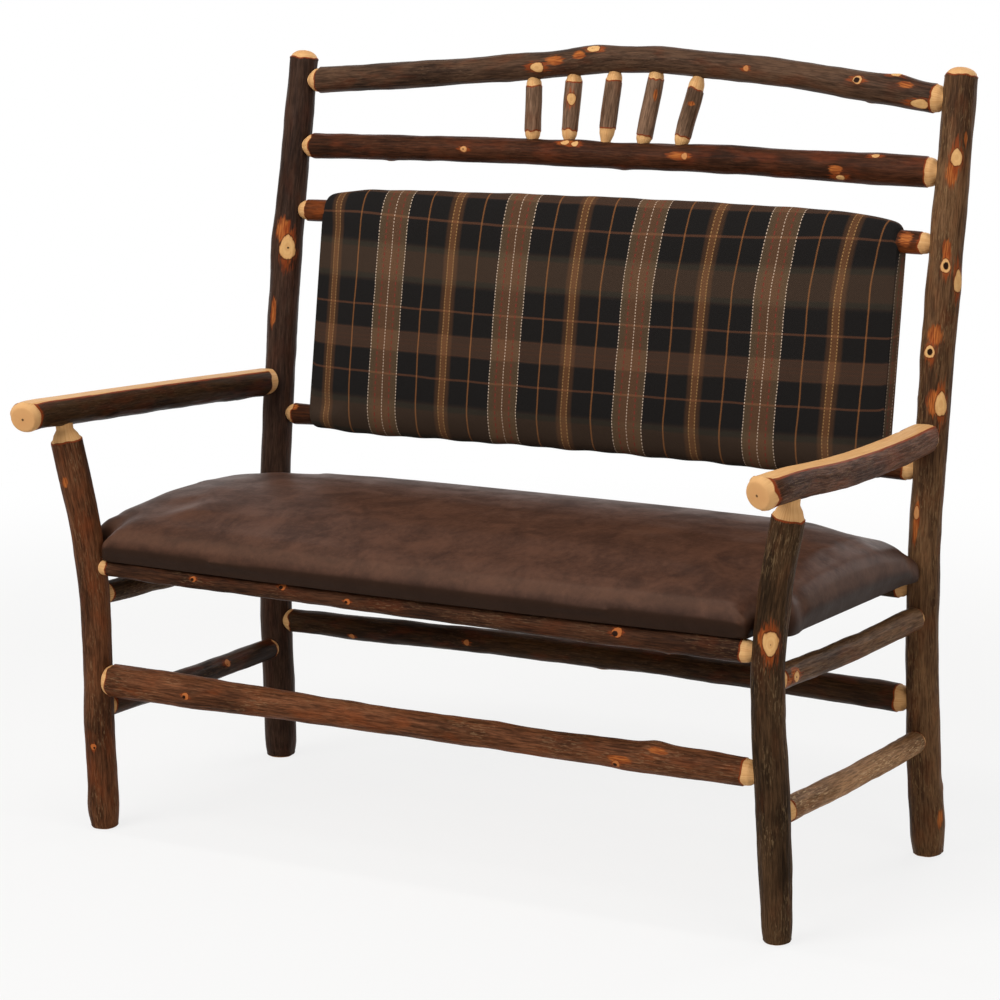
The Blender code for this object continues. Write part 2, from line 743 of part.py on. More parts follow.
crest_sockets = []
spindle_rail_sockets = []
for number, index in enumerate((-2, -1, 0, 1, 2), start=1):
    spindle = spindle_between("spindle_%d" % number, index)
    seats = (
        spindle_rail.radius(spindle.start.x - spindle_rail.start.x),
        crest.radius(spindle.start.x - crest.start.x),
    )
    add_spindle(spindle, seats)
    spindle_rail_sockets.append(spindle.mortise(seats[0], SPINDLE_TENON, SPINDLE_TENON_DEPTH))
    crest_sockets.append(spindle.mortise(seats[1], SPINDLE_TENON, SPINDLE_TENON_DEPTH, True))
cut(made[crest], crest_sockets)
cut(made[spindle_rail], spindle_rail_sockets)

panel_bm = bmesh.new()
loft_into(panel_bm, pad_panel(PAD_BOARD, 0.0, (FIT_GAP, -FIT_GAP)))
add_object("back_board", panel_bm, pad_frame(0.0)[0], looks["plywood"])
groove = PAD_BOARD + 2 * FIT_GAP
cut(made[pad_lower], [pad_panel(groove, FIT_GAP, (0.0, -0.25))])
cut(made[pad_upper], [pad_panel(groove, FIT_GAP, (0.25, 0.0))])
pad_padding("back_padding_front", PAD_FRONT)
pad_padding("back_padding_rear", -PAD_REAR)
cover_bm = bmesh.new()
loft_into(cover_bm, pad_form(0.0))
cover = add_object("back_cover", cover_bm, pad_frame(0.0)[0], looks["plaid"])
cut(cover, [pad_form(CLOTH)])
cut(cover, [rail_core(pad_lower), rail_core(pad_upper)])

seat_top_of_rail = seat_rail_z + SEAT_RAIL_DIAMETER / 2
seat_board_z = seat_top_of_rail + FIT_GAP + CLOTH + FIT_GAP
board_bm = bmesh.new()
board_inset = 0.003 + CLOTH + FIT_GAP
board_faces = (seat_board_z, seat_board_z + SEAT_BOARD)
loft_into(board_bm, [seat_ring(board_inset, z) for z in board_faces])
board = add_object("seat_board", board_bm, (0, 0, seat_board_z), looks["plywood"])

foam_bm = bmesh.new()
loft_into(foam_bm, seat_form(CLOTH + FIT_GAP, seat_board_z + SEAT_BOARD + FIT_GAP))
add_object("seat_padding", foam_bm, (0, 0, seat_board_z + SEAT_BOARD), looks["padding"])

lip_top = seat_board_z - FIT_GAP
lip_inset = 0.003 + SEAT_TURN_UNDER
outside = [seat_ring(lip_inset, lip_top - CLOTH)] + seat_form(0.0, lip_top - CLOTH)
inside = [seat_ring(lip_inset, lip_top)] + seat_form(CLOTH, lip_top)
hide_bm = bmesh.new()
shell_into(hide_bm, outside, inside)
hide = add_object("seat_cover", hide_bm, (0, 0, seat_board_z), looks["hide"])

screw_z = seat_board_z + SCREW_BITE - SCREW_LENGTH
board_holes = []
for rail, place in ((seat_front, "front"), (seat_rear, "rear")):
    holes = []
    for word, x in (("left", -SCREW_PITCH), ("middle", 0.0), ("right", SCREW_PITCH)):
        screw_bm = bmesh.new()
        loft_into(screw_bm, upright_rings(x, rail.start.y, screw_z, screw_stations(SCREW_LENGTH)))
        add_object("seat_screw_%s_%s" % (place, word), screw_bm, (x, rail.start.y, screw_z), looks["steel"])
        holes.append(upright_rings(x, rail.start.y, screw_z, screw_hole(SCREW_LENGTH)))
    cut(made[rail], holes)
    board_holes += holes
cut(board, board_holes)
cut(hide, board_holes)
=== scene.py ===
import math
import random

import bmesh
import bpy
import numpy as np
from mathutils import Matrix, Vector
from mathutils.bvhtree import BVHTree


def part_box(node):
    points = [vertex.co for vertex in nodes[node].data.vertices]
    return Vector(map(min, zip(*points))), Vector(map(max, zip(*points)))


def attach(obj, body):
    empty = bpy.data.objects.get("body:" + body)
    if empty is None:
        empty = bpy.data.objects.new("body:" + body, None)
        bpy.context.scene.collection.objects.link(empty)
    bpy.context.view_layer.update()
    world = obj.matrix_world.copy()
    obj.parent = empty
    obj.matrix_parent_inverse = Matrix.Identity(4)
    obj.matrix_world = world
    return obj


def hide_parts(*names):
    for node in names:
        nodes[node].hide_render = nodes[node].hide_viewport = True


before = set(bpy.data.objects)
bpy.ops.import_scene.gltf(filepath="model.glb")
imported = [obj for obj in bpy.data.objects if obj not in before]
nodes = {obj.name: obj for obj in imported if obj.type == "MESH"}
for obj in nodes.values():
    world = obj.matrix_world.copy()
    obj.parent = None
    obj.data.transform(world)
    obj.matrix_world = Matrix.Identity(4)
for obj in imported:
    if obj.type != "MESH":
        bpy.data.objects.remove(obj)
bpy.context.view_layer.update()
print("frame:", len(nodes), "nodes")

nodeKinds = {  # short names for the kinds used most, with the settings they start from
    "mix": ("ShaderNodeMix", dict(data_type='RGBA')),
    "range": ("ShaderNodeMapRange", dict(interpolation_type='SMOOTHSTEP')),
    "noise": ("ShaderNodeTexNoise", {}),
    "attribute": ("ShaderNodeAttribute", {}),
    "combine": ("ShaderNodeCombineXYZ", {}),
    "separate": ("ShaderNodeSeparateXYZ", {}),
    "bump": ("ShaderNodeBump", {}),
    "read": ("GeometryNodeInputNamedAttribute", dict(data_type='FLOAT')),
    "store": ("GeometryNodeStoreNamedAttribute", {}),
    "place": ("GeometryNodeSetPosition", {}),
    "transform": ("GeometryNodeTransform", {}),
    "circle": ("GeometryNodeCurvePrimitiveCircle", dict(mode='RADIUS')),
    "sweep": ("GeometryNodeCurveToMesh", {}),
    "cone": ("GeometryNodeMeshCone", {}),
    "boolean": ("GeometryNodeMeshBoolean", {}),
}
for word in ("add", "subtract", "multiply", "divide", "minimum", "maximum", "absolute", "sine", "pingpong",
             "multiply_add"):
    nodeKinds[word] = ("ShaderNodeMath", dict(operation=word.upper()))
for word in ("add", "subtract", "multiply", "scale", "normalize", "length"):
    nodeKinds["vector " + word] = ("ShaderNodeVectorMath", dict(operation=word.upper()))
socketKinds = {int: "NodeSocketInt", float: "NodeSocketFloat", tuple: "NodeSocketVector"}


def linear(hexColour):  # sRGB hex to the linear colour a socket takes
    parts = [int(hexColour[i:i + 2], 16) / 255 for i in (1, 3, 5)]
    return [c / 12.92 if c < 0.04045 else ((c + 0.055) / 1.055) ** 2.4 for c in parts] + [1.0]


def feed(tree, node, links):  # links nodes and sockets to a node's inputs, sets values and hex colours
    for key, value in links.items():
        if isinstance(value, bpy.types.Node):
            value = next(socket for socket in value.outputs if socket.enabled)
        if isinstance(value, bpy.types.NodeSocket):
            tree.links.new(value, node.inputs[key])
        else:
            node.inputs[key].default_value = linear(value) if str(value).startswith("#") else value


def put(tree, kind, links=(), **settings):  # one node with its settings and what feeds its open sockets
    kind, start = nodeKinds.get(kind, (kind, {}))
    node = tree.nodes.new(kind)
    for key, value in {**start, **settings}.items():
        setattr(node, key, value)
    if not isinstance(links, dict):
        links = dict(zip((i for i, socket in enumerate(node.inputs) if socket.enabled), links))
    feed(tree, node, links)
    return node


def newTree(name, values):  # a Geometry Nodes tree with a named input for each value, and a material
    tree = bpy.data.node_groups.new(name, "GeometryNodeTree")
    for way in ('INPUT', 'OUTPUT'):
        tree.interface.new_socket(name="Geometry", in_out=way, socket_type='NodeSocketGeometry')
    for label, value in values.items():
        tree.interface.new_socket(name=label, in_out='INPUT', socket_type=socketKinds[type(value)])
    tree.interface.new_socket(name="Material", in_out='INPUT', socket_type='NodeSocketMaterial')
    return tree, put(tree, "NodeGroupInput").outputs


def endTree(tree, geometry, given):  # plain geometry with its material, as every tree ends
    geometry = put(tree, "GeometryNodeRealizeInstances", {0: geometry})
    geometry = put(tree, "GeometryNodeSetMaterial", {"Geometry": geometry, "Material": given["Material"]})
    put(tree, "NodeGroupOutput", {0: geometry})


def added(name, mesh):  # an object in the scene
    piece = bpy.data.objects.new(name, mesh)
    bpy.context.collection.objects.link(piece)
    return piece


def evaluated(piece):  # what its modifiers make of a piece, as a plain mesh
    graph = bpy.context.evaluated_depsgraph_get()
    return bpy.data.meshes.new_from_object(
        piece.evaluated_get(graph), preserve_all_data_layers=True, depsgraph=graph)


def realise(name, mesh, tree, values):  # runs a tree on a mesh and keeps the result as a plain mesh
    source = added(name + "Source", mesh)
    modifier = source.modifiers.new("nodes", 'NODES')
    modifier.node_group = tree
    for item in tree.interface.items_tree:
        if item.in_out == 'INPUT' and item.name in values:
            modifier[item.identifier] = values[item.name]
    made = evaluated(source)
    source.modifiers.remove(modifier)
    bpy.data.objects.remove(source)
    return added(name, made)


def numbers(mesh, name, size=3):  # positions, normals or a point attribute as an array
    values = np.empty(len(mesh.vertices) * size)
    if name in ("co", "normal"):
        mesh.vertices.foreach_get(name, values)
    else:
        mesh.attributes[name].data.foreach_get("vector" if size == 3 else "value", values)
    return values.reshape(-1, size) if size > 1 else values


def write(mesh, name, values):
    layer = mesh.attributes.get(name) or mesh.attributes.new(name, 'FLOAT', 'POINT')
    layer.data.foreach_set("value", np.asarray(values, np.float32))


def moveTo(mesh, co):
    mesh.vertices.foreach_set("co", co.ravel())
    mesh.update()


def edgeEnds(mesh):  # the points at both ends of every edge
    ends = np.empty(len(mesh.edges) * 2, int)
    mesh.edges.foreach_get("vertices", ends)
    return ends[0::2], ends[1::2]


def cutAt(first, second, axis, place):  # where edges between these points cross a plane square to one axis
    a, b = first[:, axis] - place, second[:, axis] - place
    cutting = a * b < 0
    share = (a[cutting] / (a[cutting] - b[cutting]))[:, None]
    return first[cutting] + share * (second[cutting] - first[cutting])


def smooth(low, high, value):
    t = np.clip((value - low) / (high - low), 0, 1)
    return t * t * (3 - 2 * t)


# Logs: each is measured from its CAD node, then swept again with bark, peeled ends and knots.
# axis: the way it runs; dome: how far its near and far ends are rounded; bark: where bark starts
# and stops, from the near end and to the far end, where the CAD solid has no shoulder to show it;
# runOn: how much of the usual length bark runs on over a shaved shoulder.
postEnds = dict(dome=(0.004, 0.015), bark=(-0.02, 0.012))
legEnds = dict(dome=(0.005, 0), bark=(-0.02, 0), runOn=(0, 0))
logs = {
    "back_post_left": dict(axis=2, sides=64, skin="plum", **postEnds),
    "back_post_right": dict(axis=2, sides=64, skin="worn", **postEnds),
    "front_leg_left": dict(axis=2, sides=60, skin="rough", **legEnds),
    "front_leg_right": dict(axis=2, sides=60, skin="furrowed", **legEnds),
    "arm_left": dict(axis=1, sides=64, skin="slick", dome=(0.022, 0), bark=(0.019, 0.062)),
    "arm_right": dict(axis=1, sides=64, skin="rough", dome=(0.022, 0), bark=(0.019, 0), runOn=(0, 0)),
    "crest_rail": dict(axis=0, sides=56, skin="crest"),
    "spindle_rail": dict(axis=0, sides=56, skin="umber"),
    "pad_rail_upper": dict(axis=0, sides=44, skin="russet"),
    "pad_rail_lower": dict(axis=0, sides=44, skin="russet"),
    "seat_rail_front": dict(axis=0, sides=48, skin="roughInShade", runOn=(1.3, 1.0)),
    "seat_rail_rear": dict(axis=0, sides=48, skin="furrowed"),
    "side_rail_left": dict(axis=1, sides=48, skin="furrowed", runOn=(1.7, 1.7)),
    "side_rail_right": dict(axis=1, sides=48, skin="worn", runOn=(1.8, 1.5)),
    "side_stretcher_left": dict(axis=1, sides=48, skin="slick", runOn=(1.9, 2.2)),
    "side_stretcher_right": dict(axis=1, sides=48, skin="tan", runOn=(1.0, 1.6)),
    "stretcher_front": dict(axis=0, sides=56, skin="ruddy", runOn=(1.6, 1.0)),
    "stretcher_rear": dict(axis=0, sides=56, skin="slick", runOn=(1.3, 1.0)),
}
for index, runOn in enumerate(((0.9, 1.0), (0.6, 1.1), (0.0, 0.7), (0.8, 1.1), (0.7, 0.3)), 1):
    logs[f"spindle_{index}"] = dict(axis=2, sides=40, skin="twig", runOn=runOn)

# Knots: place on the log, half length along it, half width round it, how pale its face, how wide its heart
knots = {
    "back_post_left": [((-0.538, 0.263, 0.812), 0.019, 0.0115, 1.0, 0.25)],
    "back_post_right": [
        ((0.558, 0.291, 0.992), 0.012, 0.0075, 1.0, 0.0),
        ((0.556, 0.265, 0.844), 0.010, 0.0065, 0.9, 1.0),
        ((0.568, 0.274, 0.819), 0.016, 0.0075, 1.0, 0.0),
        ((0.546, 0.246, 0.7245), 0.009, 0.0075, 1.0, 1.0),
        ((0.564, 0.243, 0.6505), 0.017, 0.0085, 1.0, 0.0),
        ((0.541, 0.219, 0.500), 0.010, 0.0045, 0.5, 0.0)],
    "front_leg_right": [((0.5516, -0.2673, 0.4063), 0.0165, 0.0098, 1.0, 0.22)],
    "seat_rail_front": [
        ((-0.352, -0.2597, 0.3972), 0.005, 0.004, 0.1, 1.1),
        ((-0.2007, -0.2578, 0.4012), 0.006, 0.005, 0.1, 1.1),
        ((-0.0932, -0.261, 0.3934), 0.005, 0.004, 0.1, 1.0),
        ((0.3268, -0.2617, 0.397), 0.0075, 0.0065, 0.15, 1.1)],
    "crest_rail": [
        ((-0.1168, 0.3047, 1.0961), 0.011, 0.007, 1.0, 0.2),
        ((-0.0265, 0.3110, 1.1230), 0.011, 0.006, 1.0, 0.3),
        ((0.2285, 0.3047, 1.1028), 0.0045, 0.0042, 0.35, 0.5),
        ((0.4012, 0.3057, 1.0901), 0.007, 0.006, 0.8, 1.25),
        ((0.493, 0.3052, 1.0607), 0.0135, 0.007, 1.0, 0.0),
        ((0.4580, 0.3200, 1.0949), 0.0085, 0.0055, 1.0, 0.0)],
    "spindle_rail": [
        ((-0.2331, 0.2878, 0.9717), 0.006, 0.0045, 0.6, 0.5),
        ((-0.0638, 0.2956, 0.9862), 0.0075, 0.0045, 0.9, 0.0),
        ((-0.0436, 0.2926, 0.9842), 0.006, 0.005, 1.0, 0.2),
        ((0.1392, 0.2877, 0.9751), 0.005, 0.005, 0.5, 0.3),
        ((0.3849, 0.290, 0.9545), 0.007, 0.0045, 1.0, 0.2),
        ((0.4359, 0.2945, 0.9843), 0.0065, 0.004, 0.9, 0.2)],
    "spindle_2": [((-0.0581, 0.3062, 1.0505), 0.009, 0.006, 0.9, 0.0)],
    "stretcher_front": [
        ((-0.365, -0.261, 0.2266), 0.006, 0.005, 0.15, 1.0),
        ((0.3252, -0.2564, 0.2192), 0.0055, 0.0048, 0.2, 1.0)],
    "stretcher_rear": [
        ((-0.398, 0.2225, 0.2185), 0.005, 0.0045, 0.3, 0.6),
        ((-0.1917, 0.2218, 0.2294), 0.005, 0.0045, 0.3, 0.6)],
    "side_rail_right": [((0.5532, -0.1943, 0.3512), 0.008, 0.0068, 0.9, 0.4)],
    "side_stretcher_left": [((-0.5337, 0.0758, 0.1875), 0.0065, 0.0055, 0.3, 0.5)],
    "front_leg_left": [((-0.5395, -0.2514, 0.1271), 0.005, 0.0045, 0.1, 0.8)],
    "pad_rail_upper": [((0.5138, 0.2778, 0.8716), 0.0025, 0.0025, 0.8, 1.0)],
}

# Patches where the outer bark is gone: place, half length along the log, half width round it
patches = {
    "back_post_left": [((-0.5514, 0.2444, 0.7106), 0.026, 0.006), ((-0.545, 0.262, 0.838), 0.022, 0.012)],
    "back_post_right": [
        ((0.553, 0.285, 0.967), 0.020, 0.010), ((0.557, 0.2685, 0.861), 0.018, 0.007),
        ((0.550, 0.249, 0.7454), 0.016, 0.013), ((0.5555, 0.238, 0.652), 0.021, 0.012),
        ((0.541, 0.219, 0.488), 0.036, 0.0055), ((0.5756, 0.2407, 0.058), 0.016, 0.007),
        ((0.567, 0.303, 1.012), 0.012, 0.003)],
    "crest_rail": [
        ((-0.088, 0.306, 1.106), 0.018, 0.008), ((-0.046, 0.308, 1.115), 0.012, 0.008),
        ((0.4718, 0.3078, 1.0849), 0.013, 0.006)],
    "spindle_rail": [
        ((0.130, 0.2877, 0.974), 0.022, 0.007), ((0.3774, 0.2857, 0.9658), 0.012, 0.008),
        ((-0.060, 0.294, 0.985), 0.018, 0.006)],
    "front_leg_left": [((-0.5585, -0.278, 0.519), 0.009, 0.006)],
    "front_leg_right": [((0.544, -0.268, 0.414), 0.014, 0.009)],
    "side_rail_right": [((0.5532, -0.196, 0.356), 0.014, 0.008), ((0.5532, -0.214, 0.347), 0.009, 0.008)],
    "stretcher_front": [((0.330, -0.256, 0.226), 0.020, 0.006), ((0.385, -0.252, 0.242), 0.016, 0.006)],
    "pad_rail_upper": [((0.492, 0.277, 0.875), 0.012, 0.012)],
    "pad_rail_lower": [((-0.512, 0.2409, 0.5623), 0.013, 0.007)],
    "spindle_5": [((0.1403, 0.3061, 1.0504), 0.004, 0.006)],
    "spindle_4": [((0.0796, 0.3097, 1.060), 0.010, 0.004)],
}

# Burls, where the pole swells: place, half length along the log, height
burls = {
    "stretcher_front": [((0.374, -0.245, 0.246), 0.020, 0.005), ((-0.365, -0.262, 0.222), 0.030, 0.003)],
    "back_post_left": [((-0.566, 0.258, 0.820), 0.040, 0.004)],
    "front_leg_left": [((-0.566, -0.258, 0.030), 0.022, 0.004)],
    "back_post_right": [((0.574, 0.272, 0.815), 0.040, 0.003), ((0.576, 0.236, 0.060), 0.030, 0.003)],
    "crest_rail": [((-0.030, 0.318, 1.128), 0.040, 0.003), ((0.462, 0.318, 1.096), 0.022, 0.003)],
    "spindle_rail": [((0.20, 0.300, 0.990), 0.060, 0.003), ((-0.05, 0.296, 0.988), 0.030, 0.0025)],
}

barkShape = {  # what the log tree takes
    "Sides": 64, "Ridge Height": 0.0006, "Ridge Width": 0.0065, "Lump Height": 0.0016, "Lump Length": 0.085,
    "Edge Wobble": 0.0022, "Wood Share": 0.93, "Seed": 0.0}
logShape = dict(barkStep=0.003, edgeStep=0.001, peelStep=0.0015, domeStep=0.0008, strayKnotEvery=0.30,
                runOn=0.010, shoulder=0.955, flush=0.955, cone=0.925, coneReach=0.022, outward=1.011,
                thinnest=0.0006, armFull=(0.046, 0.066), letGo=0.012, letGoOver=(0.002, 0.022))
knotShape = dict(burlWidth=0.022, collar=0.22, widestCollar=0.008, face=0.75, patchDepth=0.0005)


def measure(name, axis):  # centre and radius of a pole's outline, cut square to one axis each millimetre
    mesh = nodes[name].data
    points = numbers(mesh, "co")
    first, second = (points[end] for end in edgeEnds(mesh))
    across = [i for i in range(3) if i != axis]
    angles = np.arange(24) * math.pi / 12
    ways = np.stack([np.cos(angles), np.sin(angles)])
    low, high = points[:, axis].min() + 1e-4, points[:, axis].max() - 1e-4
    isArm = name.startswith("arm_")
    centres, radii, flats = [], [], []
    for place in np.linspace(low, high, int((high - low) / 0.001) + 2):
        reach = (cutAt(first, second, axis, place)[:, across] @ ways).max(axis=0)
        if isArm:  # planed flat on top, so only the sides and the underside count
            radius = (reach[0] + reach[12]) / 2
            middle = [(reach[0] - reach[12]) / 2, radius - reach[18]]
        else:
            radius = reach.mean()
            middle = (ways * reach).sum(axis=1) / 12
        flats.append(reach[6] - middle[1] if isArm else 1.0)
        centres.append(np.insert(middle, axis, place))
        radii.append(radius)
    centres, flats = np.array(centres), np.array(flats)
    if isArm:  # the leg's mortise opens the underside, so there the flat gives the centre
        level = np.median(flats)
        opened = flats < level - 0.0003
        opened[:51] = opened[-60:] = False
        centres[opened, 2] += flats[opened] - level
        flats[opened] = level
    return centres, np.array(radii) * logShape["outward"], flats


def soften(values, width):  # a bell-shaped running mean that keeps both ends where they are
    reach = int(3 * width)
    bell = np.exp(-0.5 * (np.arange(-reach, reach + 1) / width) ** 2)
    bell /= bell.sum()
    start = 2 * values[:1] - values[1:reach + 1][::-1]
    stop = 2 * values[-1:] - values[-reach - 1:-1][::-1]
    padded = np.concatenate([start, values, stop])
    if padded.ndim == 1:
        return np.convolve(padded, bell, 'valid')
    return np.stack([np.convolve(column, bell, 'valid') for column in padded.T], axis=1)


def logPath(name, spec):  # the log's centre line as a mesh of points, with its girth, bark and flat
    centres, radii, flats = measure(name, spec["axis"])
    along = np.concatenate([[0], np.cumsum(np.linalg.norm(np.diff(centres, axis=0), axis=1))])
    length = along[-1]
    look = min(45, len(radii) // 3)
    given = spec.get("bark", (0, 0))
    near, far = [edge or along[np.argmax(walk[:-look] > logShape["shoulder"] * walk[look:])]
                 for edge, walk in zip(given, (radii, radii[::-1]))]
    far = length - far
    isArm = name.startswith("arm_")
    start, stop = near + 0.002, far - 0.002
    if isArm:
        start, stop = logShape["armFull"][0], length - logShape["armFull"][1]
    inner = np.flatnonzero((along > start) & (along < stop))
    full = radii.copy()
    full[:inner[0]] = radii[inner[0]]
    full[inner[-1] + 1:] = radii[inner[-1]]
    wide = min(18, len(inner) // 8)
    full, middle = soften(full, wide), soften(centres, wide)
    shares = spec.get("runOn", (1, 1))
    runOn = [0 if edge else logShape["runOn"] * share for edge, share in zip(given, shares)]
    near, far = near - runOn[0], far + runOn[1]  # bark runs on over the start of the shaved shoulder
    # and the cone is drawn out with it, so that it still meets the bark at its own width
    drawn = along + runOn[0] * smooth(near - logShape["coneReach"], near, along) * (along < near)
    drawn -= runOn[1] * smooth(far + logShape["coneReach"], far, along) * (along > far)
    shaved = np.minimum(np.interp(drawn, along, radii), logShape["cone"] * full)
    peeled = np.where((along < near) | (along > far), shaved, full * barkShape["Wood Share"])
    if isArm:  # one plane, let go over the rounded front end
        flats = np.median(flats) + logShape["letGo"] * (1 - smooth(*logShape["letGoOver"], along))
    dome = spec.get("dome", (0, 0))
    for size, gone, bare in ((dome[0], along, near), (dome[1], length - along, length - far)):
        if size:
            inDome = gone < size
            peeled = np.where(inDome | (gone < 0.03) & (gone < bare), full * logShape["flush"], peeled)
            bow = np.sqrt(1 - np.clip(1 - gone / size, 0, 1) ** 2.2)
            peeled = np.where(inDome, peeled * (0.72 + 0.28 * bow if size < 0.008 else bow), peeled)
    stops = [0.0]
    while stops[-1] < length:
        here = stops[-1]
        step = logShape["barkStep" if near < here < far else "peelStep"]
        if here < dome[0] or here > length - dome[1]:
            step = logShape["domeStep"]
        if min(abs(here - near), abs(here - far)) < 0.007:
            step = logShape["edgeStep"]
        stops.append(here + step)
    stops = np.array(stops[:-1] + [length])
    mesh = bpy.data.meshes.new(name + "Path")
    place = np.stack([np.interp(stops, along, middle[:, i]) for i in range(3)], axis=1)
    mesh.from_pydata(place.tolist(), [(i, i + 1) for i in range(len(stops) - 1)], [])
    slow = 0.4 if isArm else 1.0  # a wide red ring behind an arm's front end
    toEnds = (stops, length - stops)
    ends = [np.clip(1 - gone / size, 0, 1) if size else 0 for gone, size in zip(toEnds, dome)]
    write(mesh, "along", stops)
    write(mesh, "girth", np.maximum(np.interp(stops, along, peeled), logShape["thinnest"]))
    write(mesh, "full", np.interp(stops, along, full))
    write(mesh, "bark", np.minimum((stops - near) * slow, far - stops) * 1000)
    write(mesh, "endGrain", np.maximum(*ends) + 0 * stops)
    write(mesh, "flat", np.interp(stops, along, soften(flats, 8)))
    return mesh, near, far


# The tree that sweeps a log: path points with girth, a round section, bark and lumps along the grain
logTree, given = newTree("sweepLog", barkShape)
t = logTree
position = put(t, "GeometryNodeInputPosition")
path = put(t, "GeometryNodeMeshToCurve", {0: given["Geometry"]})
path = put(t, "store", {"Geometry": path, "Name": "centre", "Value": position}, data_type='FLOAT_VECTOR')
section = put(t, "circle", {"Resolution": given["Sides"], "Radius": 1.0})
section = put(t, "store", {"Geometry": section, "Name": "rim", "Value": position}, data_type='FLOAT_VECTOR')
girth, along, full, flat, endBark = [
    put(t, "read", {"Name": name}) for name in ("girth", "along", "full", "flat", "bark")]
centre, rim = [put(t, "read", {"Name": name}, data_type='FLOAT_VECTOR') for name in ("centre", "rim")]
swept = put(t, "sweep", {"Curve": path, "Profile Curve": section, "Scale": girth, "Fill Caps": True})
out = put(t, "vector subtract", [position, centre])
outward = put(t, "vector normalize", [out])
# grain: the place round and along the log in metres, so patterns run with the wood
lengthwise = put(t, "combine", {"Z": along})
shift = put(t, "multiply", [given["Seed"], 0.37])
shifted = put(t, "combine", [shift, shift, shift])
grain = put(t, "vector add", [put(t, "vector scale", {0: rim, "Scale": full}), lengthwise])
grain = put(t, "vector add", [grain, shifted])
# the planed flat of an arm takes its bark too
rise = put(t, "multiply", [put(t, "separate", [outward]).outputs["Z"], full])
flatBark = put(t, "multiply", [put(t, "subtract", [flat, rise]), 900.0])
spot = put(t, "vector multiply", [lengthwise, (0, 0, 20.0)])
spot = put(t, "vector add", [put(t, "vector multiply", [rim, (1.4, 1.4, 1.4)]), spot])
spot = put(t, "vector add", [spot, shifted])
wobble = put(t, "noise", {"Vector": spot, "Scale": 1.0, "Detail": 0.6, "Roughness": 0.5})
wobble = put(t, "subtract", [wobble, 0.5])
wobble = put(t, "multiply", [wobble, put(t, "multiply", [given["Edge Wobble"], 4000.0])])
bark = put(t, "minimum", [put(t, "add", [endBark, wobble]), flatBark])
onBark = put(t, "range", [bark, -0.5, 0.9, 0.0, 1.0])
# bark thickness, then ridges along the grain and slow lumps, neither of them right beside the flat
calm = put(t, "range", [flatBark, 0.0, 12.0, 0.0, 1.0])
lift = put(t, "multiply", [full, put(t, "subtract", [1.0, given["Wood Share"]])])
for high, wide, stretch, detail, rough, gain in (
        ("Ridge Height", "Ridge Width", (1.0, 1.0, 0.13), 2.0, 0.55, 4.0),
        ("Lump Height", "Lump Length", (2.0, 2.0, 1.0), 1.0, 0.5, 3.0)):
    spot = put(t, "vector multiply", [grain, stretch])
    wave = put(t, "noise", {
        "Vector": spot, "Scale": put(t, "divide", [1.0, given[wide]]), "Detail": detail, "Roughness": rough})
    size = put(t, "multiply", [put(t, "multiply", [given[high], gain]), calm])
    lift = put(t, "multiply_add", [put(t, "subtract", [wave, 0.5]), size, lift])
lift = put(t, "multiply", [lift, onBark])
moved = put(t, "vector scale", {0: outward, "Scale": lift})
swept = put(t, "store", {"Geometry": swept, "Name": "bark", "Value": bark})
swept = put(t, "store", {"Geometry": swept, "Name": "grain", "Value": grain}, data_type='FLOAT_VECTOR')
swept = put(t, "place", {"Geometry": swept, "Offset": moved})
# what stands above the flat is planed down to it
over = put(t, "subtract", [put(t, "separate", [out]).outputs["Z"], flat])
over = put(t, "multiply", [put(t, "maximum", [over, 0.0]), -1.0])
swept = put(t, "place", {"Geometry": swept, "Offset": put(t, "combine", {"Z": over})})
endTree(t, put(t, "GeometryNodeSetShadeSmooth", {"Geometry": swept}), given)
print("log tree:", len(logTree.nodes), "nodes")

toCamera = np.array([0.496, -0.850, 0.177])
farOff = 9.0  # for points that no knot or patch reaches


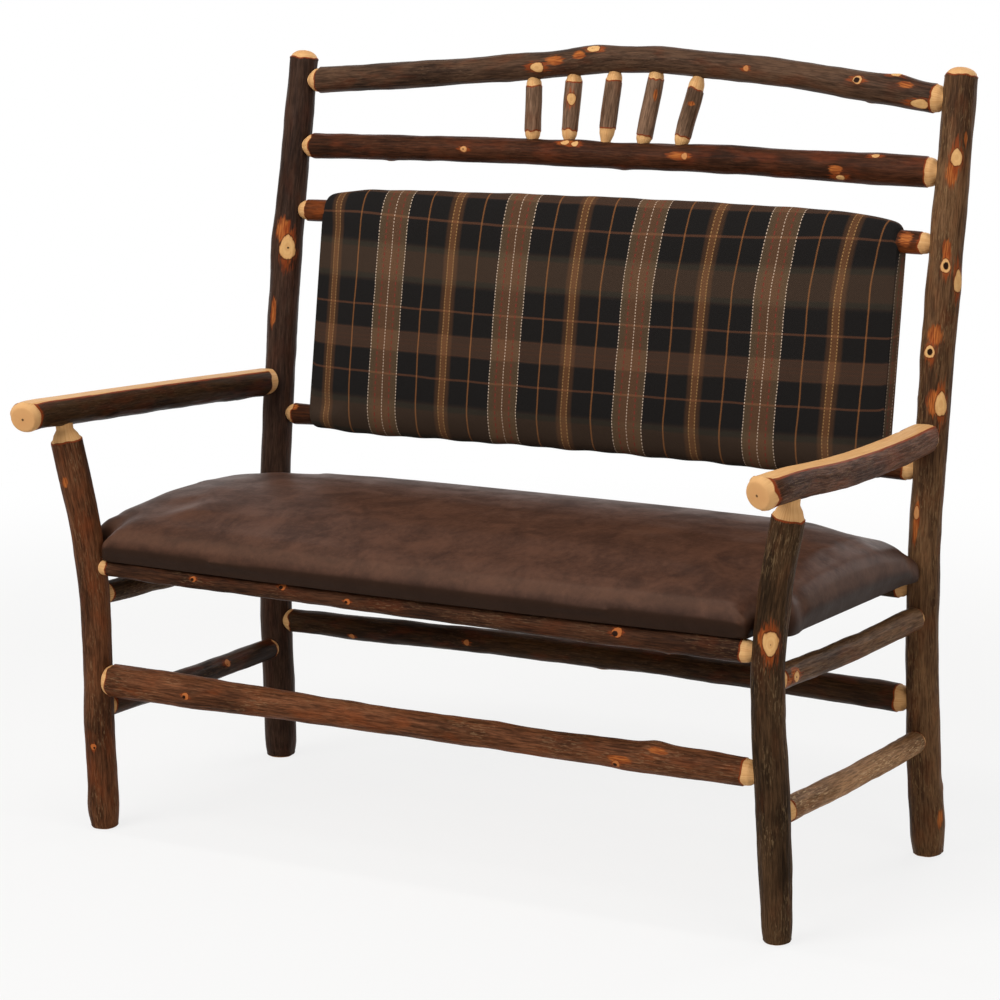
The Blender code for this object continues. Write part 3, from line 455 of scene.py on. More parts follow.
def growKnots(piece, name, seed, near, far):  # collars, cut faces and worn patches on one log
    mesh = piece.data
    co, centre, along = numbers(mesh, "co"), numbers(mesh, "centre"), numbers(mesh, "along", 1)
    order = np.argsort(along)
    run = centre[order[-1]] - centre[order[0]]
    run /= np.linalg.norm(run)
    knot, patch, heart, halo = [np.full(len(co), farOff) for _ in range(4)]
    cream = np.zeros(len(co))
    outAll = co - centre
    outAll /= np.maximum(np.linalg.norm(outAll, axis=1), 1e-9)[:, None]

    def across(at):  # the nearest point, and the way out, the distance and the way round there
        here = int(np.argmin(np.linalg.norm(co - np.asarray(at, float), axis=1)))
        out = co[here] - centre[here]
        out -= run * (out @ run)
        level = np.linalg.norm(out)
        return here, out / level, level, np.cross(run, out / level)

    # stray knots on the side that the photo doesn't show
    found = list(knots.get(name, ()))
    dice = random.Random(seed)
    shy = (along > near + 0.03) & (along < far - 0.03) & (outAll @ toCamera < -0.15)
    shy = np.flatnonzero(shy).tolist()
    for _ in range(round((far - near) / logShape["strayKnotEvery"]) if shy else 0):
        at = co[dice.choice(shy)]
        size = dice.uniform(0.0045, 0.0085)
        long = size * dice.uniform(1.1, 1.5)
        found.append((at, long, size, dice.choice((0.3, 0.9, 1.0)), dice.choice((0.0, 0.5, 1.0))))
    for at, half, height in burls.get(name, ()):
        away = co - np.asarray(at)
        lengthwise = away @ run
        off = np.linalg.norm(away - np.outer(lengthwise, run), axis=1)
        swell = np.exp(-(lengthwise / half) ** 2 - (off / knotShape["burlWidth"]) ** 2) * height
        co += outAll * swell[:, None]
    for at, half, wide, face, dark in found:
        here, out, level, side = across(at)
        away = co - (centre[here] + out * level)
        lengthwise, round_ = away @ run, away @ side
        tip = 1 if name.startswith("back_post") else -1  # narrower towards one end, as a cut branch is
        narrow = 1 - 0.28 * np.clip(tip * lengthwise / half, -1, 1)
        spread = np.hypot(lengthwise / half, round_ / (wide * narrow))
        long = np.hypot(lengthwise / (2.1 * half + 0.005), round_ / (1.25 * wide + 0.0015))
        long /= 0.6 + 0.4 * face
        hidden = away @ out < -0.7 * level
        spread[hidden] = long[hidden] = farOff
        halo = np.minimum(halo, long)
        collar = np.exp(-(spread / 1.5) ** 2) * min(wide, knotShape["widestCollar"]) * knotShape["collar"]
        co += outAll * collar[:, None]
        # the face is cut level, and filled up where it lies lower
        height = (co - centre[here]) @ out - level
        top = collar.max() * knotShape["face"]
        flatten = 1 - smooth(0.80, 1.12, spread)
        co += out * ((top - height) * flatten * np.where(height > top, 1.0, 0.85))[:, None]
        closer = spread < knot
        knot = np.where(closer, spread, knot)
        cream = np.where(closer, face, cream)
        aside = 0.30 if face < 0.4 else 0.08
        hole = np.hypot(lengthwise / half + aside, round_ / wide - aside) / max(0.55 * dark, 0.01)
        heart = np.where(closer, hole, heart)
    for at, half, wide in patches.get(name, ()):
        here, out, level, side = across(at)
        away = co - co[here]
        spread = np.hypot(away @ run / half, away @ side / wide)
        spread[away @ out < -0.012] = farOff
        co -= outAll * ((1 - smooth(0.6, 1.1, spread)) * knotShape["patchDepth"])[:, None]
        patch = np.minimum(patch, spread)
    if name.startswith(("back_post", "front_leg")):
        co[:, 2] = np.maximum(co[:, 2], 0.0)  # sawn level, flat on the floor
    core = np.linalg.norm(co - centre, axis=1) * 1000
    layers = dict(knot=knot, patch=patch, cream=cream, heart=heart, halo=halo, core=core)
    for label, values in layers.items():
        write(mesh, label, values)
    for spare in ("rim", "centre", "full", "girth", "flat"):
        mesh.attributes.remove(mesh.attributes[spare])
    moveTo(mesh, co)


# Seat screws: countersunk, driven up through the two seat rails into the board, one place for each CAD node
screwBoxes = {name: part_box(name) for name in nodes if name.startswith("seat_screw_")}
screwFeet = {name: ((low[0] + high[0]) / 2, (low[1] + high[1]) / 2, low[2])
             for name, (low, high) in screwBoxes.items()}
screwLow, screwHigh = next(iter(screwBoxes.values()))
screws = {"Head": 0.0088, "Countersink": 0.0032, "Shank": 0.0034, "Point": 0.006, "Pitch": 0.0018,
          "Ridge": 0.00042, "Recess": (0.0050, 0.0011, 0.0017), "Length": float(screwHigh[2] - screwLow[2])}
bores = dict(radius=0.005, depth=0.030, drop=0.013)


def drill(piece, rail):  # the bores below a rail's screws, their walls bare wood
    form = bmesh.new()
    for name, (x, y, z) in screwFeet.items():
        if rail.split("_")[-1] in name:
            deep = Matrix.Translation((x, y, z - bores["drop"]))
            bmesh.ops.create_cone(form, cap_ends=True, segments=28, radius1=bores["radius"],
                                  radius2=bores["radius"], depth=bores["depth"], matrix=deep)
    mesh = bpy.data.meshes.new("drill")
    form.to_mesh(mesh)
    form.free()
    for label in ("bark", "knot", "patch", "halo", "heart", "core"):
        write(mesh, label, np.full(len(mesh.vertices), -5 if label == "bark" else farOff))
    grain = mesh.attributes.new("grain", 'FLOAT_VECTOR', 'POINT')
    grain.data.foreach_set("vector", numbers(mesh, "co").ravel())
    cutter = added("drill", mesh)
    modifier = piece.modifiers.new("bores", 'BOOLEAN')
    modifier.object = cutter
    modifier.solver = 'EXACT'
    made = evaluated(piece)
    piece.modifiers.remove(modifier)
    piece.data = made
    bpy.data.objects.remove(cutter)


def newMaterial(name):
    material = bpy.data.materials.new(name)
    material.use_nodes = True
    return material, material.node_tree


def inMm(t):  # the place on the object in millimetres
    return put(t, "vector scale", {0: put(t, "ShaderNodeTexCoord").outputs["Object"], "Scale": 1000.0})


def grainNoise(t, mm, wide, long, detail=2.0, rough=0.55, bend=0.0):  # features this wide and long in mm
    spot = put(t, "vector multiply", [mm, (1 / wide, 1 / wide, 1 / long)])
    return put(t, "noise", {
        "Vector": spot, "Scale": 1.0, "Detail": detail, "Roughness": rough, "Distortion": bend})


def blend(t, under, over, value, start, stop, share=1.0):  # a colour laid over another by a value's range
    return put(t, "mix", [put(t, "range", [value, start, stop, 0.0, share]), under, over])


# Hickory bark, left on the pole and given a satin varnish: lengthwise furrows, tan flecks where the
# ridges are rubbed, red inner bark where it is worn, and pale shaved wood at the ends and cut knots.
# A skin: its dark, middle, fleck and red tones, how many flecks, how warm, how rough, how deep its relief
skins = {
    "slick": ("#251811", "#45301e", "#735b43", "#5b2a17", 0.16, 0.45, 0.36, 0.22),
    "plum": ("#271a14", "#453126", "#65503f", "#452418", 0.10, 0.35, 0.34, 0.20),
    "crest": ("#2f2119", "#5c4332", "#80674f", "#64351f", 0.18, 0.40, 0.36, 0.25),
    "umber": ("#2a180f", "#502e1d", "#6f523c", "#652f18", 0.14, 0.55, 0.36, 0.25),
    "twig": ("#4f3a2b", "#8b6b54", "#8f765e", "#6f3f27", 0.25, 0.35, 0.38, 0.30),
    "worn": ("#3b271a", "#715136", "#8b6f4c", "#6a381d", 0.42, 0.32, 0.40, 0.40),
    "furrowed": ("#261a0f", "#523b27", "#846b4c", "#57301a", 0.42, 0.32, 0.46, 0.70),
    "tan": ("#6b4d32", "#ab805a", "#cfae84", "#8a5530", 0.62, 0.25, 0.45, 0.60),
    "rough": ("#341e11", "#694129", "#876a4b", "#74391c", 0.36, 0.45, 0.46, 0.75),
    # the rough bark made darker: painted shade for the front seat rail, which sits under the seat
    "roughInShade": ("#281810", "#4f3120", "#7a5f44", "#5c2c16", 0.36, 0.40, 0.46, 0.75),
    "ruddy": ("#3e2415", "#7c4d32", "#927252", "#7f401f", 0.38, 0.45, 0.46, 0.75),
    "russet": ("#2c180f", "#57301b", "#8a6a48", "#92481f", 0.15, 0.65, 0.36, 0.25),
}
wood = dict(pale="#d9ab74", tan="#c08a55", blush="#c8925f", knot="#d8aa70", knotHeart="#ad6f3e",
            rust="#a2501f", inner="#80381a", edge="#4a2413", pith="#24130a", wornDark="#76381b",
            wornPale="#b0652f", crack="#120a06")


def barkMaterial(skin):
    dark, mid, fleckTone, red, flecks, warmth, rough, depth = skins[skin]
    material, t = newMaterial(skin + "HickoryBark")
    grain = put(t, "attribute", attribute_name="grain").outputs["Vector"]
    mm = put(t, "vector scale", {0: grain, "Scale": 1000.0})
    bark, knot, halo, patch, cream, heart, core, endGrain = [
        put(t, "attribute", attribute_name=name).outputs["Fac"]
        for name in ("bark", "knot", "halo", "patch", "cream", "heart", "core", "endGrain")]
    slow = grainNoise(t, mm, 42, 150)
    furrow = grainNoise(t, mm, 3.2, 38, 3.0, 0.6, 0.25)
    fine = grainNoise(t, mm, 1.4, 17)
    dash = grainNoise(t, mm, 1.6, 10, 2.0, 0.5, 0.5)
    zone = grainNoise(t, mm, 24, 60)
    rubbed = grainNoise(t, mm, 30, 80)
    ragged = grainNoise(t, mm, 3.4, 15, 3.0, 0.6)
    torn = grainNoise(t, mm, 1.7, 24, 2.0, 0.5)
    streak = grainNoise(t, mm, 1.4, 60, 3.0, 0.6)
    # outer bark: dark between the fibres, red-brown in zones, tan where the ridges are rubbed
    tint = put(t, "multiply_add", [furrow, 0.55, put(t, "multiply", [slow, 0.55])])
    colour = blend(t, dark, mid, tint, 0.38, 0.70)
    colour = blend(t, colour, red, zone, 0.48, 0.72, warmth)
    colour = blend(t, colour, wood["crack"], fine, 0.58, 0.36, 0.40)
    fleck = put(t, "multiply", [put(t, "range", [dash, 0.54, 0.66, 0.0, 1.0]),
                                put(t, "range", [rubbed, 0.40, 0.62, 0.0, flecks])])
    colour = put(t, "mix", [fleck, colour, fleckTone])
    # worn patches of orange inner bark, their edges torn along the grain
    tear = put(t, "multiply_add", [torn, 1.1, put(t, "multiply_add", [ragged, 0.7, patch])])
    worn = blend(t, wood["wornDark"], wood["wornPale"], torn, 0.36, 0.64)
    colour = blend(t, colour, worn, tear, 1.92, 1.62, 0.92)
    # knots: rust stain drawn out by the grain, a thin dark rim, a pale cut face, a dark heart
    stain = put(t, "multiply_add", [torn, 1.6, put(t, "multiply_add", [ragged, 1.0, halo])])
    stained = blend(t, wood["inner"], wood["rust"], torn, 0.35, 0.65)
    colour = blend(t, colour, stained, stain, 2.25, 1.75, 0.80)
    wobbly = put(t, "multiply_add", [ragged, 0.34, knot])
    colour = blend(t, colour, wood["edge"], wobbly, 1.34, 1.20, 0.85)
    rings = put(t, "sine", [put(t, "multiply", [wobbly, 17.0])])
    face = blend(t, wood["knot"], wood["knotHeart"], rings, -0.2, 1.0, 0.16)
    face = blend(t, face, wood["knotHeart"], wobbly, 0.62, 0.20, 0.30)
    face = blend(t, face, wood["tan"], ragged, 0.40, 0.70, 0.40)
    face = blend(t, face, wood["knotHeart"], wobbly, 0.85, 1.20, 0.45)
    face = put(t, "mix", [cream, wood["rust"], face])
    face = blend(t, face, wood["pith"], put(t, "multiply_add", [ragged, 0.5, heart]), 1.40, 1.10)
    onKnot = put(t, "range", [wobbly, 1.20, 1.12, 0.0, 1.0])
    colour = put(t, "mix", [onKnot, colour, face])
    # shaved ends: pale wood, faint grain, a pith dot, and the red line of inner bark where the knife stopped
    grained = put(t, "multiply", [put(t, "range", [streak, 0.36, 0.70, 0.0, 0.9]),
                                  put(t, "range", [endGrain, 0.0, 0.5, 1.0, 0.15])])
    bare = put(t, "mix", [grained, wood["pale"], wood["tan"]])
    bare = blend(t, bare, wood["blush"], zone, 0.30, 0.75, 0.35)
    bare = blend(t, bare, wood["blush"], endGrain, 0.2, 0.9, 0.75)
    bare = blend(t, bare, wood["pith"], core, 2.3, 1.3, 0.85)
    frayed = put(t, "multiply_add", [torn, 3.2, put(t, "add", [bark, -1.6])])
    colour = blend(t, colour, wood["inner"], frayed, 3.0, 1.0)
    onWood = put(t, "range", [bark, 0.35, -0.15, 0.0, 1.0])
    colour = put(t, "mix", [onWood, colour, bare])
    # feet: the sawn face is bare wood
    height = put(t, "separate", [put(t, "ShaderNodeTexCoord").outputs["Object"]]).outputs["Z"]
    colour = blend(t, colour, wood["tan"], height, 0.0014, 0.0008)
    shaved = put(t, "maximum", [onWood, onKnot])
    relief = put(t, "multiply_add", [fine, 0.35, put(t, "multiply_add", [dash, 0.35, furrow])])
    relief = put(t, "multiply", [relief, put(t, "range", [shaved, 0.0, 1.0, 1.0, 0.12])])
    feed(t, t.nodes["Principled BSDF"], {
        "Base Color": colour, "Roughness": put(t, "range", [furrow, 0.3, 0.7, rough + 0.10, rough - 0.06]),
        "Normal": put(t, "bump", {"Strength": depth, "Distance": 0.0016, "Height": relief}),
        "IOR": 1.5, "Specular IOR Level": 0.03})
    return material


barks = {skin: barkMaterial(skin) for skin in skins}
print("bark:", ", ".join(m.name for m in barks.values()))

logTriangles = 0
for index, (name, spec) in enumerate(logs.items()):
    seed = 3 + 2 * index
    path, near, far = logPath(name, spec)
    shape = {**barkShape, "Sides": spec["sides"], "Seed": float(seed), "Material": barks[spec["skin"]]}
    if spec["skin"] == "twig":
        shape.update({key: barkShape[key] * 0.7 for key in ("Ridge Height", "Lump Height")})
    piece = realise("log_" + name, path, logTree, shape)
    growKnots(piece, name, seed, near, far)
    if name.startswith("seat_rail_"):
        drill(piece, name)
    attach(piece, "root")
    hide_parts(name)
    logTriangles += sum(len(p.vertices) - 2 for p in piece.data.polygons)
print("logs:", len(logs), "pieces,", logTriangles, "triangles")

clothSettings = dict(quality=5, mass=0.35, tension_stiffness=25, compression_stiffness=25,
                     shear_stiffness=12, bending_stiffness=4, use_pressure=True, vertex_group_mass="held")
clothFrames = 20


def inflate(piece, pressure, cap, held):  # swells a cover with Blender's cloth, each point up to its cap
    trial = added("swelling", piece.data.copy())
    group = trial.vertex_groups.new(name="held")
    group.add([int(i) for i in np.flatnonzero(held)], 1.0, 'REPLACE')
    cloth = trial.modifiers.new("cloth", 'CLOTH')
    for key, value in clothSettings.items():
        setattr(cloth.settings, key, value)
    cloth.settings.uniform_pressure_force = pressure
    cloth.settings.effector_weights.gravity = 0
    cloth.collision_settings.use_collision = False
    scene = bpy.context.scene
    for step in range(1, clothFrames + 1):
        scene.frame_set(step)
    graph = bpy.context.evaluated_depsgraph_get()
    start = numbers(piece.data, "co")
    move = numbers(trial.evaluated_get(graph).data, "co") - start
    size = np.maximum(np.linalg.norm(move, axis=1), 1e-9)
    move *= np.minimum(1.0, cap / size)[:, None]
    most = 1000 * float(np.linalg.norm(move, axis=1).max())
    moveTo(piece.data, start + move)
    scene.frame_set(1)
    bpy.data.objects.remove(trial)
    print("cloth:", piece.name, "moved up to", round(most, 1), "mm")


def relax(mesh, rounds, fixed, back=0.0):  # points go half-way to their neighbours, then back for the bulk
    a, b = edgeEnds(mesh)
    co = numbers(mesh, "co")
    count = np.maximum(np.bincount(np.concatenate([a, b]), minlength=len(co)), 1)[:, None]
    for share in (0.5, -back) * rounds if back else (0.5,) * rounds:
        total = np.zeros_like(co)
        np.add.at(total, a, co[b])
        np.add.at(total, b, co[a])
        co += (total / count - co) * share * (1.0 - fixed[:, None])
    moveTo(mesh, co)


def subdivided(piece):  # one subdivision, kept as a plain mesh
    modifier = piece.modifiers.new("subdivision", 'SUBSURF')
    modifier.levels = modifier.render_levels = 1
    modifier.use_limit_surface = False  # far quicker at the middle of a cap
    made = evaluated(piece)
    piece.modifiers.remove(modifier)
    old = piece.data
    piece.data = made
    bpy.data.meshes.remove(old)
    for polygon in made.polygons:
        polygon.use_smooth = True
    return made


def outlineAt(name, x):  # the outer outline of a CAD node cut at one x, as a hull in (y, z)
    mesh = nodes[name].data
    points = numbers(mesh, "co")
    cut = cutAt(*(points[end] for end in edgeEnds(mesh)), 0, x)[:, 1:]
    cut = sorted(set(map(tuple, np.round(cut, 6).tolist())))
    hull = []
    for ordered in (cut, cut[::-1]):
        chain = []
        for p in ordered:
            while len(chain) > 1 and ((chain[-1][0] - chain[-2][0]) * (p[1] - chain[-2][1])
                                      - (chain[-1][1] - chain[-2][1]) * (p[0] - chain[-2][0])) <= 0:
                chain.pop()
            chain.append(p)
        hull += chain[:-1]
    return np.array(hull)


# Padded back: a plaid sleeve over the two pad rails, swept from the CAD cover's outline
padBack = dict(step=0.0075, around=116, pressure=6.0, cap=0.0045, frontCap=0.0095, ripple=0.0012, fill=0.75,
               topPuff=0.008, lowPuff=0.005, endTaper=0.09, inset=0.0004, sink=0.0015,
               lowCap=(0.545, 0.59), topCap=(0.85, 0.885), topRise=(0.84, 0.895), lowRise=(0.54, 0.60),
               lowRipple=(0.55, 0.62),
               edge=(0, 0.002, 0.004, 0.007, 0.011, 0.016), capRings=(0.93, 0.80, 0.58, 0.32, 0.10))
plaid = dict(
    across=212.6, stripe=-340.0, up=240.0, row=102.0, rowHeight=0.7292, rowSag=0.0062, topSag=6.5,
    lean=(13.0, 4.0),
    black="#1d1b1a", brown="#684933", moss="#5f4b36", red="#782d28", white="#f2d6bc", orange="#895832",
    tan="#714a2d", yellow="#b08a58", olive="#544031", sage="#3d3a2f", umber="#5a4030", rust="#6c4530")


def frontLine(ring, heights):  # the front half of an outline from its lowest point to its highest
    top = int(np.argmax(ring[:, 1]))
    halves = (slice(0, top + 1), slice(len(ring) - 1, top - 1, -1))
    front = min(halves, key=lambda half: ring[half, 0].mean())
    return ring[front, 1], ring[front, 0], heights[front]


def lean(x, height):  # the sleeve is pulled askew to the right, so its stripes lean more there
    top, bottom = plaid["lean"]
    askew = bottom * smooth(100, -70, height) - top * smooth(150, 290, height)
    return x * 1000 + askew * smooth(-0.35, 0.25, x)


def padMesh():
    low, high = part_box("back_cover")
    half = (high[0] - low[0]) / 2 - padBack["inset"]
    edge = np.array(padBack["edge"])
    inner = np.linspace(-half + 0.022, half - 0.0221, int((2 * half - 0.044) / padBack["step"]))
    stations = np.concatenate([-half + edge, inner, half - edge[::-1]])
    rings, heights = [], []
    for x in stations:
        hull = outlineAt("back_cover", x)
        start = int(np.argmin(hull[:, 1]))
        loop = np.concatenate([hull[start:], hull[:start], hull[start:start + 1]])
        walk = np.concatenate([[0], np.cumsum(np.linalg.norm(np.diff(loop, axis=0), axis=1))])
        stops = np.linspace(0, walk[-1], padBack["around"] + 1)
        ring = np.stack([np.interp(stops, walk, loop[:, i]) for i in range(2)], axis=1)
        # heights on the cloth are counted from one woven row, which sags between the ends
        front = ring[:, 0] < ring[:, 0].mean()
        row = plaid["rowHeight"] + plaid["rowSag"] * (x / 0.47) ** 2
        index = int(np.argmin(np.where(front, abs(ring[:, 1] - row), 9)))
        way = np.sign(ring[(index + 1) % len(ring), 1] - ring[index, 1])
        slip = (row - ring[index, 1]) / 0.99
        height = way * (stops - stops[index]) * 1000 - slip * 1000 + plaid["row"]
        height += plaid["topSag"] * (1 - abs(x / 0.482) ** 3) * smooth(plaid["row"], plaid["up"], height)
        rings.append(ring)
        heights.append(height)
    points, uvs, sideUvs, faces, corner = [], [], [], [], []
    count, last, caps = padBack["around"], len(rings) - 1, padBack["capRings"]
    order = [(0, c) for c in caps[::-1]] + [(i, 1.0) for i in range(len(rings))] + [(last, c) for c in caps]
    for index, share in order:
        ring, x = rings[index], stations[index]
        way = -1 if x < 0 else 1
        middle = ring[:-1].mean(axis=0)
        shrunk = middle + (ring - middle) * share
        points += [(x - padBack["sink"] * (1 - share) * way, y, z) for y, z in shrunk[:-1]]
        uvs.append([(lean(x, height), height) for height in heights[index]])
        # round the side the stripes go on from the front edge, and the cloth is joined at the back edge
        zs, ys, vs = frontLine(ring, heights[index])
        across = [(way * (half + y - np.interp(z, zs, ys)), np.interp(z, zs, vs)) for y, z in shrunk]
        sideUvs.append([(lean(u, v), v) for u, v in across])
    for i in range(len(order) - 1):
        onSide = min(order[i][1], order[i + 1][1]) < 1
        first, second = (sideUvs if onSide else uvs)[i:i + 2]
        for k in range(count):
            j = (k + 1) % count
            faces.append((i * count + k, i * count + j, (i + 1) * count + j, (i + 1) * count + k))
            corner.append((first[k], first[k + 1], second[k + 1], second[k]))
    faces += [tuple(range(count))[::-1], tuple(range(len(points) - count, len(points)))]
    corner += [tuple(sideUvs[0][:count])[::-1], tuple(sideUvs[-1][:count])]
    mesh = bpy.data.meshes.new("plaidBack")
    mesh.from_pydata(points, [], faces)
    layer = mesh.uv_layers.new(name="weave")
    flatUvs = [value for face in corner for pair in face for value in pair]
    layer.data.foreach_set("uv", np.array(flatUvs, np.float32))
    return mesh, len(caps) * count


mesh, capPoints = padMesh()
back = added("plaidBack", mesh)
form = bmesh.new()
form.from_mesh(mesh)
bmesh.ops.recalc_face_normals(form, faces=form.faces)
form.to_mesh(mesh)
form.free()
co = numbers(mesh, "co")
held = np.zeros(len(co), bool)
held[:capPoints] = held[-capPoints:] = True
relax(mesh, 6, held)
crown = np.exp(-((co[:, 2] - 0.70) / 0.13) ** 2) * (co[:, 1] < 0.267 + 0.139 * (co[:, 2] - 0.72))
cap = padBack["cap"] + (padBack["frontCap"] - padBack["cap"]) * crown
cap *= smooth(*padBack["lowCap"], co[:, 2]) * (1 - smooth(*padBack["topCap"], co[:, 2])) * 0.9 + 0.1
inflate(back, padBack["pressure"], np.where(held, 0.0, cap), held)
# over the two rails the padding is fuller, and the sleeve stands off them between its ends
co = numbers(mesh, "co")
taper = smooth(0.0, padBack["endTaper"], co[:, 0].max() - abs(co[:, 0]))
puff = padBack["topPuff"] * smooth(*padBack["topRise"], co[:, 2])
puff -= padBack["lowPuff"] * (1 - smooth(*padBack["lowRise"], co[:, 2]))
co[:, 2] += taper * puff
moveTo(mesh, co)
relax(mesh, 3, held)
co = numbers(mesh, "co")
ripple = (np.sin(co[:, 0] * 41 + 1.1 * np.sin(co[:, 2] * 23)) * np.sin(co[:, 2] * 29 + 0.7)
          + 0.6 * np.sin(co[:, 0] * 97 + co[:, 2] * 31))
lowEdge = 1 - smooth(*padBack["lowRipple"], co[:, 2])
co += numbers(mesh, "normal") * (ripple * padBack["ripple"] * (0.35 + 0.65 * lowEdge) * ~held)[:, None]
moveTo(mesh, co)
mesh = subdivided(back)

# Woven wool plaid in a 2/2 twill: threads of the two directions mix, with dashed pick lines on top
cloth, t = newMaterial("plaidWoolTwill")
weave = put(t, "ShaderNodeUVMap", uv_map="weave")
wander = put(t, "noise", {"Vector": weave, "Scale": 0.018, "Detail": 1.0})
wander = put(t, "vector add", [wander.outputs["Color"], (-0.5, -0.5, 0)])
weave = put(t, "vector add", [weave, put(t, "vector multiply", [wander, (2.5, 2.5, 0)])])
mmX, mmY, _ = put(t, "separate", [weave]).outputs
halfAcross, halfUp, halfRow = plaid["across"] / 2, plaid["up"] / 2, plaid["row"] / 2
warpAt = put(t, "pingpong", [put(t, "add", [mmX, -plaid["stripe"]]), halfAcross])
weftAt = put(t, "pingpong", [put(t, "add", [mmY, -halfRow]), halfUp])


def stripe(under, at, centre, half, soft, tone, strength=1.0, dash=None):  # one stripe woven in, sizes in mm
    off = put(t, "absolute", [put(t, "subtract", [at, centre])])
    share = put(t, "range", [off, half + soft / 2, half - soft / 2, 0.0, strength])
    if dash:  # broken into picks along the cloth: their spacing and their share
        spacing, filled = dash
        wave = put(t, "sine", [put(t, "multiply", [mmY, 2 * math.pi / spacing])])
        share = put(t, "multiply", [share, put(t, "range", [wave, -filled - 0.4, -filled + 0.4, 0.0, 1.0])])
    return put(t, "mix", [share, under, plaid[tone]])


warp = weft = plaid["black"]
for row in ((0, 24.5, 2.5, "moss"), (0, 15.5, 7.0, "brown"), (60.5, 1.15, 1.2, "orange"),
            (halfAcross, 12.0, 5.0, "tan", 0.38), (halfAcross, 6.0, 2.5, "tan")):
    warp = stripe(warp, warpAt, *row)
for row in ((0, 15.5, 5.0, "umber"), (3.0, 1.2, 1.5, "rust", 0.30), (14.2, 0.9, 1.0, "rust", 0.45),
            (halfUp, 28.0, 14.0, "olive"), (halfUp - 24.0, 4.0, 4.0, "sage", 0.7),
            (halfRow, 1.5, 1.4, "rust")):
    weft = stripe(weft, weftAt, *row)
# 1.3 mm yarn, drawn twice as coarse
twill = put(t, "sine", [put(t, "multiply", [put(t, "add", [mmX, mmY]), 2 * math.pi / 2.6])])
fuzz = put(t, "noise", {"Vector": weave, "Scale": 0.9, "Detail": 2.0})
colour = put(t, "mix", [put(t, "range", [twill, -1.0, 1.0, 0.30, 0.50]), warp, weft])
for row in ((12.3, 1.1, 1.1, "red", 0.65, (9.0, 0.2)), (0, 0.65, 0.7, "white", 0.52, (4.6, 0.15)),
            (24.5, 0.65, 0.7, "white", 0.58, (4.6, 0.15)),
            (halfAcross - 4.6, 0.65, 0.7, "yellow", 0.65, (4.6, 0.0))):
    colour = stripe(colour, warpAt, *row)
shade = put(t, "range", [fuzz, 0.25, 0.75, 0.82, 1.16])
nap = put(t, "multiply_add", [twill, 0.5, fuzz])
feed(t, t.nodes["Principled BSDF"], {
    "Base Color": put(t, "vector scale", {0: colour, "Scale": shade}),
    "Normal": put(t, "bump", {"Strength": 0.35, "Distance": 0.0006, "Height": nap}),
    "Roughness": 0.9, "IOR": 1.45, "Specular IOR Level": 0.04,
    "Sheen Weight": 0.05, "Sheen Roughness": 0.5, "Sheen Tint": "#8c7f70"})
mesh.materials.clear()
mesh.materials.append(cloth)
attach(back, "root")
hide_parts("back_cover", "back_padding_front", "back_padding_rear")
print("padded back:", len(mesh.polygons), "faces")

# Padded seat: the CAD padding and board as one form, remeshed, swollen and wrapped in hide
seat = dict(voxel=0.007, pressure=4.0, cap=0.004, skin=0.0016, underHem=0.055, fill=0.8, letDown=0.012,
            hide=0.0036, offBoard=0.0008, keep=0.53)
posts = dict(x=0.545, back=0.226, front=-0.222)
roll = dict(top=(0.462, 0.482), frontTo=(0.48, 0.53), endsFrom=(-0.194, -0.165), endsTo=(0.15, 0.19),
            reach=0.03)
form = bmesh.new()
for name in ("seat_cover", "seat_padding", "seat_board"):
    form.from_mesh(nodes[name].data)
bmesh.ops.remove_doubles(form, verts=form.verts, dist=1e-5)
# a copy let down below the board, so that the cut there leaves a crisp lower edge
lower = bmesh.ops.duplicate(form, geom=form.verts[:] + form.edges[:] + form.faces[:])["geom"]
lower = [v for v in lower if isinstance(v, bmesh.types.BMVert)]
bmesh.ops.translate(form, verts=lower, vec=(0, 0, -seat["letDown"]))
mesh = bpy.data.meshes.new("hideSeat")
form.to_mesh(mesh)
form.free()
cushion = added("hideSeat", mesh)
remesh = cushion.modifiers.new("remesh", 'REMESH')
remesh.mode = 'VOXEL'
remesh.voxel_size = seat["voxel"]
cushion.data = evaluated(cushion)
cushion.modifiers.clear()
mesh = cushion.data
boardLow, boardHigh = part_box("seat_board")
base = boardLow[2] - seat["skin"]
form = bmesh.new()
form.from_mesh(mesh)
crease = form.edges.layers.float.new("crease_edge")
bmesh.ops.bisect_plane(form, geom=form.verts[:] + form.edges[:] + form.faces[:], dist=1e-5,
                       plane_co=(0, 0, base), plane_no=(0, 0, 1), clear_inner=True)
# underneath, the hide is turned in over the board's edge and the board shows in the middle
rim = [e for e in form.edges if e.is_boundary]
middle = form.verts.new((0, (boardLow[1] + boardHigh[1]) / 2, base + seat["hide"]))
shares = (1 - seat["underHem"] / boardHigh[0], 1 - 2 * seat["underHem"] / (boardHigh[1] - boardLow[1]))
hems = {}
for edge in rim:
    edge[crease] = 0.7
    for v in edge.verts:
        if v not in hems:
            x, y = v.co.x * shares[0], middle.co.y + (v.co.y - middle.co.y) * shares[1]
            hems[v] = (form.verts.new((x, y, base)), form.verts.new((x * 0.998, y, base + seat["hide"])))
for edge in rim:
    a, b = edge.verts
    form.faces.new((a, b, hems[b][0], hems[a][0]))
    form.faces.new((hems[a][0], hems[b][0], hems[b][1], hems[a][1]))
    form.faces.new((hems[a][1], hems[b][1], middle))
bmesh.ops.recalc_face_normals(form, faces=form.faces)
form.to_mesh(mesh)
form.free()


def toPost(co):  # how far each point is from the nearest post or leg, seen from above
    deep = np.minimum(abs(co[:, 1] - posts["back"]), abs(co[:, 1] - posts["front"]))
    return np.hypot(abs(co[:, 0]) - posts["x"], deep)


